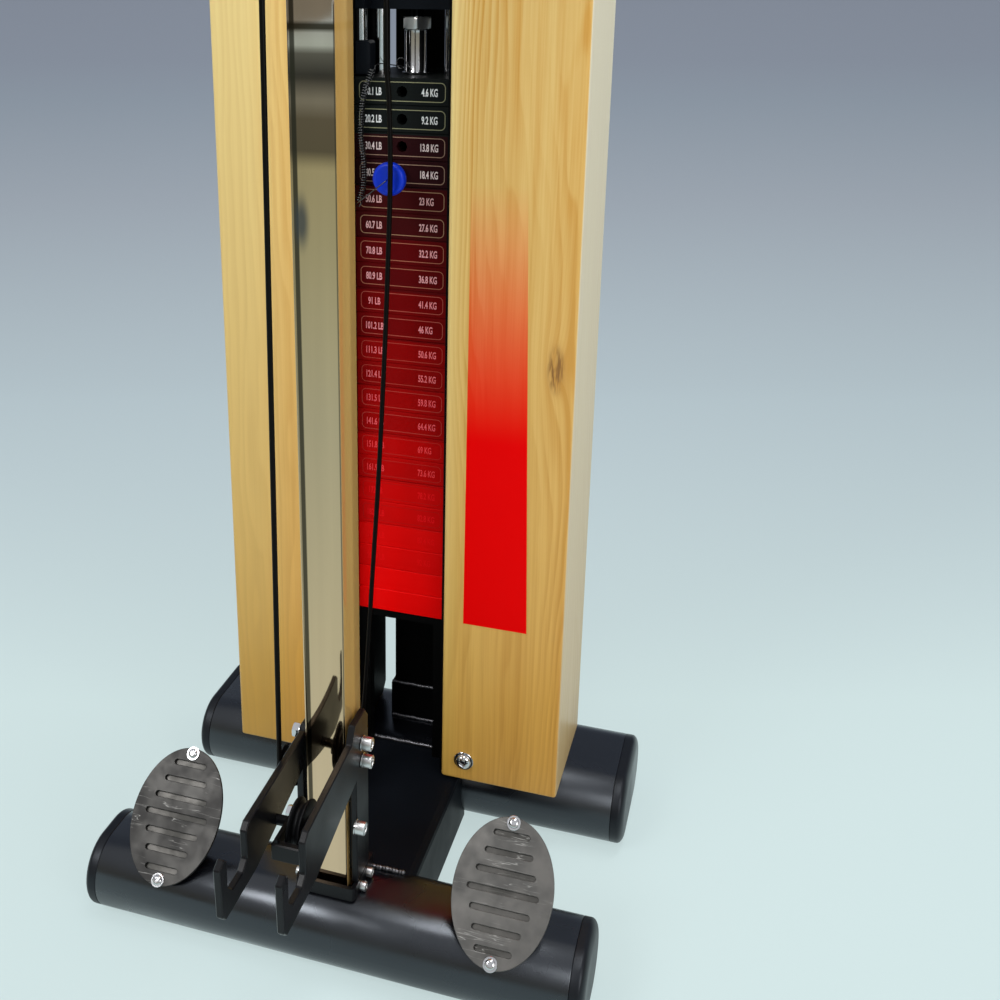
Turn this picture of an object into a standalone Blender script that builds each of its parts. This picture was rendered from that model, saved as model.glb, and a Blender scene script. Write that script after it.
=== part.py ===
# Cable station: a weight stack between two wooden posts, with a polished column in front
# that a handle carriage slides on. Millimetres in this file; every point is divided by 1000
# when it becomes a mesh. X is to the right, Y to the back, Z up. X = 0 is the middle of the
# gap between the posts, Y = 0 the posts' front, Z = 0 the floor.
import math

import bmesh
import bpy
import numpy as np

# Base
TUBE_HEIGHT = 100.0
TUBE_HALF_LENGTH = 301.0
FRONT_TUBE_WIDTH = 128.0
FRONT_TUBE_Y = -226.0
REAR_TUBE_WIDTH = 180.0
REAR_TUBE_Y = 120.0
TUBE_WALL = 3.0
CAP_LENGTH = 18.0
SPINE_HALF_WIDTH = 93.0
SPINE_HEIGHT = 96.0
SOCKET_TOP = 118.0
SOCKET_HALF = 38.0

# Foot plates: half axes, lean, the centre's X and Y and its rise over the tube
FOOT_HALF_WIDTH = 59.5
FOOT_HALF_HEIGHT = 83.0
FOOT_LEAN = 44.6
FOOT_X = 211.5
FOOT_Y = -232.5
FOOT_RISE = 42.0
SLOT_PITCH = 21.0
SLOT_HALF_WIDTH = 3.2

# Posts
GAP_HALF = 71.0
POST_WIDTH = 160.0
POST_DEPTH = 172.0
POST_TOP = 2100.0
PANEL_THICKNESS = 4.0
BOARD_THICKNESS = 30.0

# Column and carriage
COLUMN_HALF = 25.0
COLUMN_FRONT = -248.0
COLUMN_BACK = -194.0
COLUMN_DROP = 145.0
COLUMN_TOP = POST_TOP - COLUMN_DROP
FORK_INNER = 29.9
FORK_OUTER = 37.9
CARRIAGE_BOTTOM = 1370.0
CARRIAGE_TOP = 1530.0

# Weight stack
PLATE_COUNT = 22
PLATE_HALF_WIDTH = 63.0
PLATE_FRONT = 40.0
PLATE_BACK = 200.0
PLATE_PITCH = 32.8
PLATE_THICKNESS = 32.4
STACK_TOP = 1040.0
LIFTED_PLATES = 4
STACK_Y = 101.0
ROD_RADIUS = 12.5
ROD_X = 48.0
STEM_RADIUS = 10.0
SLEEVE_RADIUS = 15.5
COVER_BACK = 204.0

# Cables and pulleys: (Y, Z) of each centre and the cable's radius round it
CABLE_RADIUS = 3.0
CROWN_DROP = 55.0
RETURN_DROP = 115.0
CROWN_FRONT = (-228.0, POST_TOP - CROWN_DROP, 40.0)
CROWN_REAR = (STACK_Y, POST_TOP - CROWN_DROP, 40.0)
CROWN_RETURN = (STACK_Y - 78.5, POST_TOP - RETURN_DROP, 38.5)
FLOATING = (STACK_Y, STACK_TOP + 155.0, 40.0)
CARRIAGE_PULLEY = (-304.0, 1450.0, 36.0)
LOW_PULLEY = (-322.0, 252.0, 26.5)
REAR_GUIDE = (-49.0, 150.0, 33.0)
FRONT_GUIDE = (-261.0, 277.0, 22.0)
RETURN_X = -42.6

# Selector lanyard
COIL_RADIUS = 3.2
COIL_WIRE = 1.0
COIL_PITCH = 4.3
COIL_STEPS = 8

GAP = 0.3


def clear_scene():
    for obj in list(bpy.data.objects):
        bpy.data.objects.remove(obj)


def collection(name):
    made = bpy.data.collections.new(name)
    bpy.context.scene.collection.children.link(made)
    return made


clear_scene()
PARTS = collection("cable_station")
CUTTERS = collection("cutters")

COLOURS = {
    "black_steel": (0.012, 0.012, 0.014, 0.0, 0.38),
    "panel_steel": (0.010, 0.010, 0.011, 0.0, 0.5),
    "plastic": (0.010, 0.010, 0.011, 0.0, 0.45),
    "polished": (0.72, 0.70, 0.66, 1.0, 0.06),
    "chrome": (0.75, 0.75, 0.76, 1.0, 0.12),
    "foot_steel": (0.42, 0.43, 0.44, 1.0, 0.3),
    "left_wood": (0.62, 0.40, 0.15, 0.0, 0.45),
    "right_wood": (0.68, 0.46, 0.18, 0.0, 0.45),
    "board_wood": (0.66, 0.44, 0.17, 0.0, 0.45),
    "plate_black": (0.015, 0.012, 0.012, 0.0, 0.45),
    "plate_dark_red": (0.055, 0.006, 0.006, 0.0, 0.45),
    "plate_red": (0.22, 0.008, 0.006, 0.0, 0.45),
    "knob_blue": (0.01, 0.05, 0.55, 0.0, 0.3),
    "cable": (0.008, 0.008, 0.009, 0.0, 0.4),
    "cord": (0.012, 0.012, 0.013, 0.0, 0.35),
}


def paint(obj, slot):
    red, green, blue, metal, rough = COLOURS[slot]
    material = bpy.data.materials.new(obj.name + "_" + slot)
    material.use_nodes = True
    shader = material.node_tree.nodes["Principled BSDF"]
    shader.inputs["Base Color"].default_value = (red, green, blue, 1.0)
    shader.inputs["Metallic"].default_value = metal
    shader.inputs["Roughness"].default_value = rough
    obj.data.materials.append(material)
    return obj


def solid(name, points, faces, origin=(0, 0, 0)):
    """A mesh object from points in mm, faces turned outwards; a name starting cut_ is a helper."""
    mesh = bpy.data.meshes.new(name)
    middle = np.array(origin, float)
    mesh.from_pydata([tuple((np.array(p, float) - middle) / 1000) for p in points], [], faces)
    made = bmesh.new()
    made.from_mesh(mesh)
    bmesh.ops.recalc_face_normals(made, faces=made.faces)
    if made.calc_volume(signed=True) < 0:
        bmesh.ops.reverse_faces(made, faces=made.faces)
    made.to_mesh(mesh)
    made.free()
    obj = bpy.data.objects.new(name, mesh)
    obj.location = tuple(middle / 1000)
    helper = name.startswith(("cut_", "add_"))
    (CUTTERS if helper else PARTS).objects.link(obj)
    if helper:
        obj.hide_render = True
        obj.display_type = "WIRE"
    return obj


def loft(name, rings, closed=False, origin=(0, 0, 0)):
    """Rings of equal length joined in order, with end caps, or back to the first when closed."""
    count = len(rings[0])
    points = [p for ring in rings for p in ring]
    faces = []
    last = len(rings) if closed else len(rings) - 1
    for i in range(last):
        a, b = i * count, ((i + 1) % len(rings)) * count
        for k in range(count):
            m = (k + 1) % count
            faces.append((a + k, a + m, b + m, b + k))
    if not closed:
        faces.append(tuple(range(count))[::-1])
        faces.append(tuple(range((len(rings) - 1) * count, len(rings) * count)))
    return solid(name, points, faces, origin)


def place(axis, along, u, v):
    """A point from its height along an axis and its two other coordinates, in X, Y, Z order."""
    if axis == "X":
        return (along, u, v)
    if axis == "Y":
        return (u, along, v)
    return (u, v, along)


def prism(name, outline, axis, low, high, origin=(0, 0, 0)):
    rings = [[place(axis, at, u, v) for u, v in outline] for at in (low, high)]
    return loft(name, rings, origin=origin)


def box(name, low, high, chamfer=0.0, origin=(0, 0, 0)):
    outline = [(low[0], low[1]), (high[0], low[1]), (high[0], high[1]), (low[0], high[1])]
    obj = prism(name, outline, "Z", low[2], high[2], origin)
    if chamfer:
        bevel(obj, chamfer)
    return obj


def circle(u, v, radius, count, start=0.0):
    return [
        (u + radius * math.cos(start + 2 * math.pi * k / count),
         v + radius * math.sin(start + 2 * math.pi * k / count))
        for k in range(count)
    ]


def turned(name, axis, centre, profile, count=24, closed=False, origin=(0, 0, 0)):
    """A turned piece: profile is (height along the axis, radius) pairs; closed leaves a bore."""
    u, v = centre
    rings = [[place(axis, at, *p) for p in circle(u, v, radius, count)] for at, radius in profile]
    return loft(name, rings, closed, origin)


def arc(u, v, radius, start, end, steps):
    return [
        (u + radius * math.cos(math.radians(start + (end - start) * k / steps)),
         v + radius * math.sin(math.radians(start + (end - start) * k / steps)))
        for k in range(steps + 1)
    ]


def rounded(outline, radii, steps=4):
    """The outline with each corner rounded; radii is one number or one per corner."""
    if not isinstance(radii, (list, tuple)):
        radii = [radii] * len(outline)
    made = []
    count = len(outline)
    for k in range(count):
        corner = np.array(outline[k], float)
        if not radii[k]:
            made.append(tuple(corner))
            continue
        to_last = np.array(outline[k - 1], float) - corner
        to_next = np.array(outline[(k + 1) % count], float) - corner
        to_last /= np.linalg.norm(to_last)
        to_next /= np.linalg.norm(to_next)
        half = math.acos(max(-1.0, min(1.0, float(to_last @ to_next)))) / 2
        reach = radii[k] / math.tan(half)
        middle = corner + (to_last + to_next) / np.linalg.norm(to_last + to_next) * radii[k] / math.sin(half)
        first, last = corner + to_last * reach - middle, corner + to_next * reach - middle
        sweep = math.pi - 2 * half
        for s in range(steps + 1):
            t = s / steps
            p = (math.sin((1 - t) * sweep) * first + math.sin(t * sweep) * last) / math.sin(sweep)
            made.append(tuple(middle + p))
    return made


def rectangle(u0, u1, v0, v1, radius=0.0, steps=4):
    corners = [(u0, v0), (u1, v0), (u1, v1), (u0, v1)]
    return rounded(corners, radius, steps) if radius else corners


def obround(u, v, half_u, half_v, steps=8):
    return rounded(
        [(u - half_u, v - half_v), (u + half_u, v - half_v), (u + half_u, v + half_v), (u - half_u, v + half_v)],
        min(half_u, half_v) - 0.01, steps,
    )


def bevel(obj, width, segments=1, angle=30):
    made = obj.modifiers.new("bevel", "BEVEL")
    made.width = width / 1000
    made.segments = segments
    made.limit_method = "ANGLE"
    made.angle_limit = math.radians(angle)


def boolean(obj, other, operation):
    made = obj.modifiers.new(operation.lower() + "_" + other.name[:40], "BOOLEAN")
    made.operation = operation
    made.solver = "EXACT"
    made.object = other


def cut(obj, *others):
    for other in others:
        boolean(obj, other, "DIFFERENCE")
    return obj


def add(obj, *others):
    for other in others:
        boolean(obj, other, "UNION")
    return obj


def sweep(name, path, radii, sides, closed=False, origin=(0, 0, 0)):
    """A tube along a path of points, its frame carried along without twist."""
    path = np.array(path, float)
    if not hasattr(radii, "__len__"):
        radii = [radii] * len(path)
    if closed:
        along = np.roll(path, -1, axis=0) - np.roll(path, 1, axis=0)
    else:
        along = np.gradient(path, axis=0)
    along /= np.linalg.norm(along, axis=1)[:, None]
    side = np.cross(along[0], (1.0, 0.0, 0.0) if abs(along[0][0]) < 0.9 else (0.0, 1.0, 0.0))
    rings = []
    for k, point in enumerate(path):
        side = side - along[k] * (side @ along[k])
        side /= np.linalg.norm(side)
        other = np.cross(along[k], side)
        rings.append([
            tuple(point + radii[k] * (math.cos(a) * side + math.sin(a) * other))
            for a in (2 * math.pi * (j + 0.5) / sides for j in range(sides))
        ])
    return loft(name, rings, closed, origin)


def smooth(points, each):
    """A Catmull-Rom curve through the points."""
    p = np.array(points, float)
    p = np.vstack([2 * p[0] - p[1], p, 2 * p[-1] - p[-2]])
    made = []
    for k in range(1, len(p) - 2):
        for t in np.linspace(0, 1, each, endpoint=False):
            made.append(0.5 * (2 * p[k] + (p[k + 1] - p[k - 1]) * t
                               + (2 * p[k - 1] - 5 * p[k] + 4 * p[k + 1] - p[k + 2]) * t * t
                               + (3 * p[k] - p[k - 1] - 3 * p[k + 1] + p[k + 2]) * t ** 3))
    made.append(p[-2])
    return np.array(made)


# Base

def foot_tubes():
    for name, middle, width in (("front_foot_tube", FRONT_TUBE_Y, FRONT_TUBE_WIDTH),
                                ("rear_foot_tube", REAR_TUBE_Y, REAR_TUBE_WIDTH)):
        outer = obround(middle, TUBE_HEIGHT / 2, width / 2, TUBE_HEIGHT / 2, 8)
        inner = obround(middle, TUBE_HEIGHT / 2, width / 2 - TUBE_WALL, TUBE_HEIGHT / 2 - TUBE_WALL, 8)
        rings = [[place("X", at, *p) for p in ring]
                 for at, ring in ((-TUBE_HALF_LENGTH, outer), (TUBE_HALF_LENGTH, outer),
                                  (TUBE_HALF_LENGTH, inner), (-TUBE_HALF_LENGTH, inner))]
        paint(loft(name, rings, closed=True), "black_steel")
        for side, word in ((-1, "left"), (1, "right")):
            cap_name = name.split("_")[0] + "_cap_" + word
            rings = []
            for at, inset in ((-22, TUBE_WALL + 1.0), (0, TUBE_WALL + 1.0), (GAP, 0.0),
                              (CAP_LENGTH - 9, 0.0), (CAP_LENGTH - 3, 4.0), (CAP_LENGTH, 16.0)):
                ring = obround(middle, TUBE_HEIGHT / 2, width / 2 - inset, TUBE_HEIGHT / 2 - inset, 4)
                rings.append([place("X", side * (TUBE_HALF_LENGTH + at), *p) for p in ring])
            paint(loft(cap_name, rings), "plastic")


def saddle(name, middle, width, facing, end):
    """The cutter that shapes the spine's end round a tube. facing is the side the spine is on."""
    flat = middle + facing * (width / 2 - TUBE_HEIGHT / 2)
    radius = TUBE_HEIGHT / 2 + GAP
    curve = arc(flat, 50, radius, 90, -52, 14)
    curve = [(flat + facing * (y - flat), z) for y, z in curve]
    outline = [(end, -5), (end, 106), (flat, 106)] + curve + [(curve[-1][0], -5)]
    return prism(name, outline, "X", -SPINE_HALF_WIDTH - 5, SPINE_HALF_WIDTH + 5)


def spine():
    outline = rounded([(-SPINE_HALF_WIDTH, 0), (SPINE_HALF_WIDTH, 0),
                       (SPINE_HALF_WIDTH, SPINE_HEIGHT), (-SPINE_HALF_WIDTH, SPINE_HEIGHT)], [4, 4, 10, 10], 3)
    obj = prism("base_spine", outline, "Y", -216, 84)
    cut(obj,
        saddle("cut_spine_front", FRONT_TUBE_Y, FRONT_TUBE_WIDTH, 1, -330),
        saddle("cut_spine_rear", REAR_TUBE_Y, REAR_TUBE_WIDTH, -1, 250),
        box("cut_spine_inside", (-88, -260, 5), (88, 120, 91)))
    paint(obj, "black_steel")


def oval(half_u, half_v, count, middle=0.0):
    """Points of an ellipse."""
    return [(half_u * math.cos(a), middle + half_v * math.sin(a))
            for a in (2 * math.pi * (k + 0.5) / count for k in range(count))]


def foot_plates():
    """The oval plates that the user's feet push on, tilted back, on a bracket welded to the tube."""
    lean = math.radians(FOOT_LEAN)
    up = np.array([0, math.sin(lean), math.cos(lean)])
    out = np.array([0, -math.cos(lean), math.sin(lean)])
    for side, word in ((-1, "left"), (1, "right")):
        centre = np.array([side * FOOT_X, FOOT_Y, TUBE_HEIGHT + FOOT_RISE])

        def turn(ring, depth):
            return [tuple(centre + np.array([x, 0, 0]) + up * u + out * depth) for x, u in ring]

        outline = oval(FOOT_HALF_WIDTH, FOOT_HALF_HEIGHT, 24)
        inner = oval(FOOT_HALF_WIDTH - 1, FOOT_HALF_HEIGHT - 1, 24)
        plate = loft("foot_plate_" + word, [turn(outline, -4), turn(outline, -1), turn(inner, 0)])
        for row in range(-3, 4):
            length = 85.0 - 13.6 * abs(row)
            slot = obround(0, row * SLOT_PITCH, length / 2, SLOT_HALF_WIDTH, 2)
            cut(plate, loft("cut_slot_%s_%d" % (word, row + 3), [turn(slot, -8), turn(slot, 4)]))
        paint(plate, "foot_steel")
        back = oval(FOOT_HALF_WIDTH - 2.5, FOOT_HALF_HEIGHT - 5.5, 18, 3.2)
        backing = loft("foot_bracket_" + word, [turn(back, d) for d in (-8.8, -4.3)])

        def at(u, depth):
            return tuple((centre + up * u + out * depth)[1:])

        foot = TUBE_HEIGHT + 2 * GAP
        low = (foot + 2.4 - centre[2]) / math.cos(lean)
        gusset = [at(low, -6.8), (at(low, -8.8)[0] + 5, foot), (at(low, -8.8)[0] + 45, foot), at(24, -14.0), at(44, -6.8)]
        x = centre[0]
        add(backing, prism("add_gusset_" + word, gusset, "X", x - 20, x + 20))
        paint(backing, "black_steel")


# Column, its foot and the low pulley's fork

def column():
    outer = rectangle(-COLUMN_HALF, COLUMN_HALF, COLUMN_FRONT, COLUMN_BACK, 5, 3)
    inner = rectangle(-COLUMN_HALF + 3, COLUMN_HALF - 3, COLUMN_FRONT + 3, COLUMN_BACK - 3, 2, 3)
    rings = [[place("Z", at, *p) for p in ring]
             for at, ring in ((TUBE_HEIGHT + 2 * GAP, outer), (COLUMN_TOP, outer),
                              (COLUMN_TOP, inner), (TUBE_HEIGHT + 2 * GAP, inner))]
    paint(loft("front_column", rings, closed=True), "polished")
    outer, inner = SOCKET_HALF, SOCKET_HALF - 5
    front, back = COLUMN_FRONT - 11, COLUMN_BACK + 4
    wall = rounded([(-outer, front), (outer, front), (outer, back), (inner, back),
                    (inner, front + 5), (-inner, front + 5), (-inner, back), (-outer, back)],
                   [6, 6, 1.5, 1.5, 1, 1, 1.5, 1.5], 3)
    paint(prism("column_socket", wall, "Z", TUBE_HEIGHT + 2 * GAP, SOCKET_TOP), "black_steel")


FORK_HOOK = [(-412, 253), (-436, 253), (-446, 264), (-446, 297), (-452, 303), (-463, 297),
             (-461, 237), (-454, 229), (-378, 231), (-246, 262), (-246, SOCKET_TOP + 2 * GAP)]
FORK_LEFT = [(-205, SOCKET_TOP + 2 * GAP), (-205, 314), (-226, 314), (-234, 308),
             (-391, 303), (-400, 296), (-400, 262)] + FORK_HOOK
FORK_RIGHT = [(-205, SOCKET_TOP + 2 * GAP), (-205, 328), (-214, 340), (-250, 340), (-260, 321),
              (-392, 307.5), (-402, 300), (-402, 262)] + FORK_HOOK


def fork():
    """The two plates that hold a bar, each with a pad against the column, and the low pulley's yoke between."""
    for side, word, outline in ((-1, "left", FORK_LEFT), (1, "right", FORK_RIGHT)):
        low, high = sorted((side * FORK_INNER, side * FORK_OUTER))
        plate = prism("fork_plate_" + word, outline, "X", low, high)
        bevel(plate, 1.2, 1, 25)
        low, high = sorted((side * (COLUMN_HALF + GAP), side * (FORK_INNER + 2)))
        add(plate, box("add_fork_pad_" + word, (low, -238, SOCKET_TOP + 12), (high, -208, 305)))
        if side < 0:
            y, z = FRONT_GUIDE[:2]
            half = 4.3 + GAP
            add(plate, turned("add_front_guide_axle", "X", (y, z), (
                (RETURN_X - half - 3.4, 9), (RETURN_X - half, 9), (RETURN_X - half, 6), (-FORK_OUTER + 2, 6)), 12))
        paint(plate, "black_steel")
    y, z, radius = LOW_PULLEY
    reach = FORK_INNER - GAP
    yoke = turned("low_pulley_axle", "X", (y, z), ((-reach, 6), (reach, 6)), 16)
    for x in (-16.5, 12.5):
        add(yoke, box("add_yoke_arm_%d" % (x + 20), (x, y - radius - 12, z - 8), (x + 4, y + 9, z + 7)))
    add(yoke, box("add_yoke_block", (-20, y - radius - 14, z - 20), (20, y - radius - 5, z + 1.5), 1.5))
    paint(yoke, "black_steel")


# Posts

def posts():
    for side, word in ((-1, "left"), (1, "right")):
        low, high = sorted((side * GAP_HALF, side * (GAP_HALF + POST_WIDTH)))
        post = box("post_" + word, (low, 0, TUBE_HEIGHT + GAP), (high, POST_DEPTH, POST_TOP))
        bevel(post, 4, 3)
        paint(post, word + "_wood")
        low, high = sorted((side * (GAP_HALF - GAP), side * (GAP_HALF - GAP - PANEL_THICKNESS)))
        top = POST_TOP - 50
        outline = [(8, 105), (158, 105), (171, 118), (171, top), (8, top)]
        if side > 0:
            outline = [(8, 105), (COVER_BACK, 105), (COVER_BACK, top), (8, top)]
        panel = prism("inner_panel_" + word, outline, "X", low, high)
        if side > 0:
            add(panel, box("add_rear_cover", (-60, PLATE_BACK + 1, 105), (low + 2, COVER_BACK, top)))
        paint(panel, "panel_steel")
    reach = GAP_HALF + POST_WIDTH
    board = box("top_board", (-reach, 0, POST_TOP + GAP), (reach, POST_DEPTH, POST_TOP + BOARD_THICKNESS))
    bevel(board, 4, 2)
    paint(board, "board_wood")


# Weight stack

def stack_base():
    pedestal = box("stack_pedestal", (-38.5, 115, TUBE_HEIGHT + GAP), (38.5, 175, 155))
    add(pedestal, box("add_pedestal_upright", (-33.5, 118, 150), (33.5, 172, 305.5)))
    paint(pedestal, "black_steel")
    plate = prism("stack_base_plate", rectangle(-62, 62, 45, 195, 4, 2), "Z", 306, 318.5)
    legs = [box("add_rest_" + word, (low, 41, SPINE_HEIGHT + GAP), (low + 20, 58, 318.2))
            for low, word in ((-66, "left"), (46, "right"))]
    add(plate, *legs)
    for x, word in ((-ROD_X, "left"), (ROD_X, "right")):
        cut(plate, turned("cut_base_rod_" + word, "Z", (x, STACK_Y), ((310, ROD_RADIUS + 0.5), (330, ROD_RADIUS + 0.5)), 16))
    cut(plate, turned("cut_base_stem", "Z", (0, STACK_Y), ((300, 12), (330, 12)), 16))
    paint(plate, "black_steel")
    for x, word in ((-ROD_X, "left"), (ROD_X, "right")):
        rod = turned("guide_rod_" + word, "Z", (x, STACK_Y), ((310.4, ROD_RADIUS), (COLUMN_TOP - 10.4, ROD_RADIUS)), 24)
        paint(rod, "chrome")


def plate_z(number):
    """Bottom and top of a plate, counted from the top of the stack."""
    top = STACK_TOP - PLATE_PITCH * (number - 1)
    return top - PLATE_THICKNESS, top


def plate_rings(first, last):
    """Outer rings of plates first to last, from the bottom up, with a groove at each joint."""
    rings = []
    for number in range(last, first - 1, -1):
        low, high = plate_z(number)
        edges = [(low, 1.0), (low + 1.0, 0.0), (high - 1.0, 0.0), (high, 1.0)]
        if number < last:
            edges = edges[1:]
        for at, inset in edges:
            ring = rectangle(-PLATE_HALF_WIDTH + inset, PLATE_HALF_WIDTH - inset,
                             PLATE_FRONT + inset, PLATE_BACK - inset, 3, 1)
            rings.append([place("Z", at, *p) for p in ring])
    return rings


def plate_slot(number):
    return "plate_black" if number < 3 else "plate_dark_red" if number < 11 else "plate_red"


def weight(name, first, last):
    obj = loft(name, plate_rings(first, last))
    low, high = plate_z(last)[0] - 5, plate_z(first)[1] + 5
    for x, word in ((-ROD_X, "left"), (ROD_X, "right")):
        cut(obj, turned("cut_%s_%s" % (name, word), "Z", (x, STACK_Y), ((low, 13.5), (high, 13.5)), 16))
    cut(obj, turned("cut_%s_stem" % name, "Z", (0, STACK_Y), ((low, 11.5), (high, 11.5)), 12))
    for number in range(first, last + 1):
        z = sum(plate_z(number)) / 2
        cut(obj, turned("cut_%s_pin_%d" % (name, number), "Y", (0, z), ((PLATE_FRONT - 5, 7), (STACK_Y - 5, 7)), 8))
    paint(obj, plate_slot((first + last) // 2))


def weights():
    for number in range(1, LIFTED_PLATES + 1):
        weight("weight_plate_%d" % number, number, number)
    first = LIFTED_PLATES + 1
    third = (PLATE_COUNT - LIFTED_PLATES) // 3
    for k, word in enumerate(("upper", "middle", "lower")):
        weight("resting_plates_" + word, first + k * third, first + (k + 1) * third - 1)


def stem():
    """The drilled rod that hangs in the stack, its hexagon head and the neck in the yoke."""
    obj = turned("selector_stem", "Z", (0, STACK_Y),
                 ((324, 8.5), (326, STEM_RADIUS), (1100, STEM_RADIUS), (1100.5, 8), (1133.5, 8)), 16)
    add(obj, prism("add_stem_hex", circle(0, STACK_Y, 19, 6, math.radians(47)), "Z", 1094.4, 1108))
    for number in range(1, PLATE_COUNT + 1):
        z = sum(plate_z(number)) / 2
        cut(obj, turned("cut_stem_%d" % number, "Y", (0, z), ((STACK_Y - 15, 5.8), (STACK_Y + 15, 5.8)), 6))
    paint(obj, "chrome")
    sleeve = turned("stem_sleeve", "Z", (0, STACK_Y),
                    ((1040.3, 10.4), (1040.3, SLEEVE_RADIUS + 2.5), (1043, SLEEVE_RADIUS + 2.5),
                     (1043, SLEEVE_RADIUS), (1094, SLEEVE_RADIUS), (1094, 10.4)), 16, True)
    paint(sleeve, "chrome")


def yoke():
    """The lifting yoke on the guide rods, with the cheeks that hold the floating pulley."""
    obj = box("lifting_yoke", (-62, STACK_Y - 28, 1118), (62, STACK_Y + 28, 1138))
    for x in (-19, 13):
        cheek = [(-22, 1130), (22, 1130), (22, 1180), (14, 1215), (-14, 1215), (-22, 1180)]
        cheek = [(STACK_Y + y, z) for y, z in cheek]
        add(obj, prism("add_yoke_cheek_%d" % (x + 20), cheek, "X", x, x + 6))
    add(obj, turned("add_yoke_axle", "X", FLOATING[:2], ((-18, 6), (18, 6)), 16))
    for x, word in ((-ROD_X, "left"), (ROD_X, "right")):
        cut(obj, turned("cut_yoke_" + word, "Z", (x, STACK_Y), ((1110, 13.2), (1150, 13.2)), 16))
    cut(obj, turned("cut_yoke_neck", "Z", (0, STACK_Y), ((1110, 8.4), (1134, 8.4)), 16))
    paint(obj, "black_steel")
    add(obj, box("add_side_block", (-63, 44, 1040.4), (-42.5, 70, 1082), 3),
        turned("add_side_post", "Z", (-57, 57), ((1075, 7), (1128, 7)), 16),
        box("add_side_arm", (-62, 50, 1119), (-50, STACK_Y - 20, 1130)))


def selector():
    z = sum(plate_z(LIFTED_PLATES)) / 2
    origin = (0, 30, z)
    pin = turned("selector_pin", "Y", (0, z),
                 ((13.3, 8), (39.4, 8), (39.4, 5), (STACK_Y + 6, 5), (STACK_Y + 10, 3.5)), 16, origin=origin)
    paint(pin, "chrome")
    knob = turned("selector_knob", "Y", (0, z),
                  ((-8.4, 16.5), (-7.4, 18.8), (-4.8, 20.3), (8, 20.3), (11.5, 19), (13, 16.5)), 24, origin=origin)
    paint(knob, "knob_blue")


def lanyard():
    """The curly cord between the stem's foot and the pin's knob, one tube: wire, coil, wire."""
    spine_points = [(-35, 32, 1050), (-45.5, 30, 1020), (-49.5, 30, 987), (-49.5, 30, 966),
                    (-46.3, 30, 940), (-46.5, 30, 912), (-52.5, 30, 890)]
    line = smooth(spine_points, 40)
    length = np.concatenate([[0], np.cumsum(np.linalg.norm(np.diff(line, axis=0), axis=1))])
    curls = int(length[-1] / COIL_PITCH)
    at = np.linspace(0, length[-1], curls * COIL_STEPS + 1)
    centre = np.stack([np.interp(at, length, line[:, k]) for k in range(3)], 1)
    along = np.gradient(centre, axis=0)
    along /= np.linalg.norm(along, axis=1)[:, None]
    side = np.cross(along, (0, 1, 0))
    side /= np.linalg.norm(side, axis=1)[:, None]
    other = np.cross(along, side)
    turn = 2 * math.pi * np.arange(len(at)) / COIL_STEPS
    coil = centre + COIL_RADIUS * (np.cos(turn)[:, None] * side + np.sin(turn)[:, None] * other)
    z = sum(plate_z(LIFTED_PLATES)) / 2
    top = smooth([(-3, STACK_Y - 17, 1047), (-7, 76, 1049), (-14, 61, 1053), (-27, 42, 1056),
                  coil[0] + (1, 1, 5.5), coil[0] + (0, 0, 2.5)], 4)
    tail = smooth([coil[-1] + (-1, -1, -2.5), coil[-1] + (-1.5, -6, -4.5), (-44, 0, 893), (-24, -13.5, 908),
                   (-5, -14, 923), (-2.5, -11.4, z), (-2.5, -8.9, z)], 4)
    path = np.vstack([top, coil, tail])
    radii = [0.8] * len(top) + [COIL_WIRE] * len(coil) + [0.8] * len(tail)
    apart = []
    for k in range(0, len(coil) - COIL_STEPS):
        others = coil[k + COIL_STEPS // 2: k + 2 * COIL_STEPS]
        apart.append(np.linalg.norm(others - coil[k], axis=1).min() - 2 * COIL_WIRE)
    total = np.linalg.norm(np.diff(path, axis=0), axis=1).sum()
    print("lanyard: %d curls, %.0f mm of tube, least gap between curls %.2f mm" % (curls, total, min(apart)))
    paint(sweep("lanyard_cord", path, radii, 5), "cord")


# Pulleys

def pulley(name, spec, x, half_width, slot="plastic", rim=3.5, bore=6.3, count=18):
    """A grooved wheel that turns on X, its origin on its axis."""
    y, z, radius = spec
    outer, floor = radius + rim, radius - CABLE_RADIUS - 0.4
    edge, foot = max(half_width * 0.78, 3.6), 3.4
    profile = ((x - half_width, bore), (x - half_width, outer), (x - edge, outer), (x - foot, floor),
               (x + foot, floor), (x + edge, outer), (x + half_width, outer), (x + half_width, bore))
    return paint(turned(name, "X", (y, z), profile, count, True, origin=(x, y, z)), slot)


def pulleys():
    pulley("crown_front_pulley", CROWN_FRONT, 0, 9)
    pulley("crown_rear_pulley", CROWN_REAR, 0, 9)
    pulley("crown_return_pulley", CROWN_RETURN, 0, 9)
    pulley("floating_pulley", FLOATING, 0, 9)
    pulley("carriage_pulley", CARRIAGE_PULLEY, 0, 9)
    pulley("low_pulley", LOW_PULLEY, 0, 8, rim=3.0)
    pulley("rear_guide_pulley", REAR_GUIDE, RETURN_X + 1, 7)
    pulley("front_guide_pulley", FRONT_GUIDE, RETURN_X, 4.3, rim=3.2, count=20)


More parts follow.
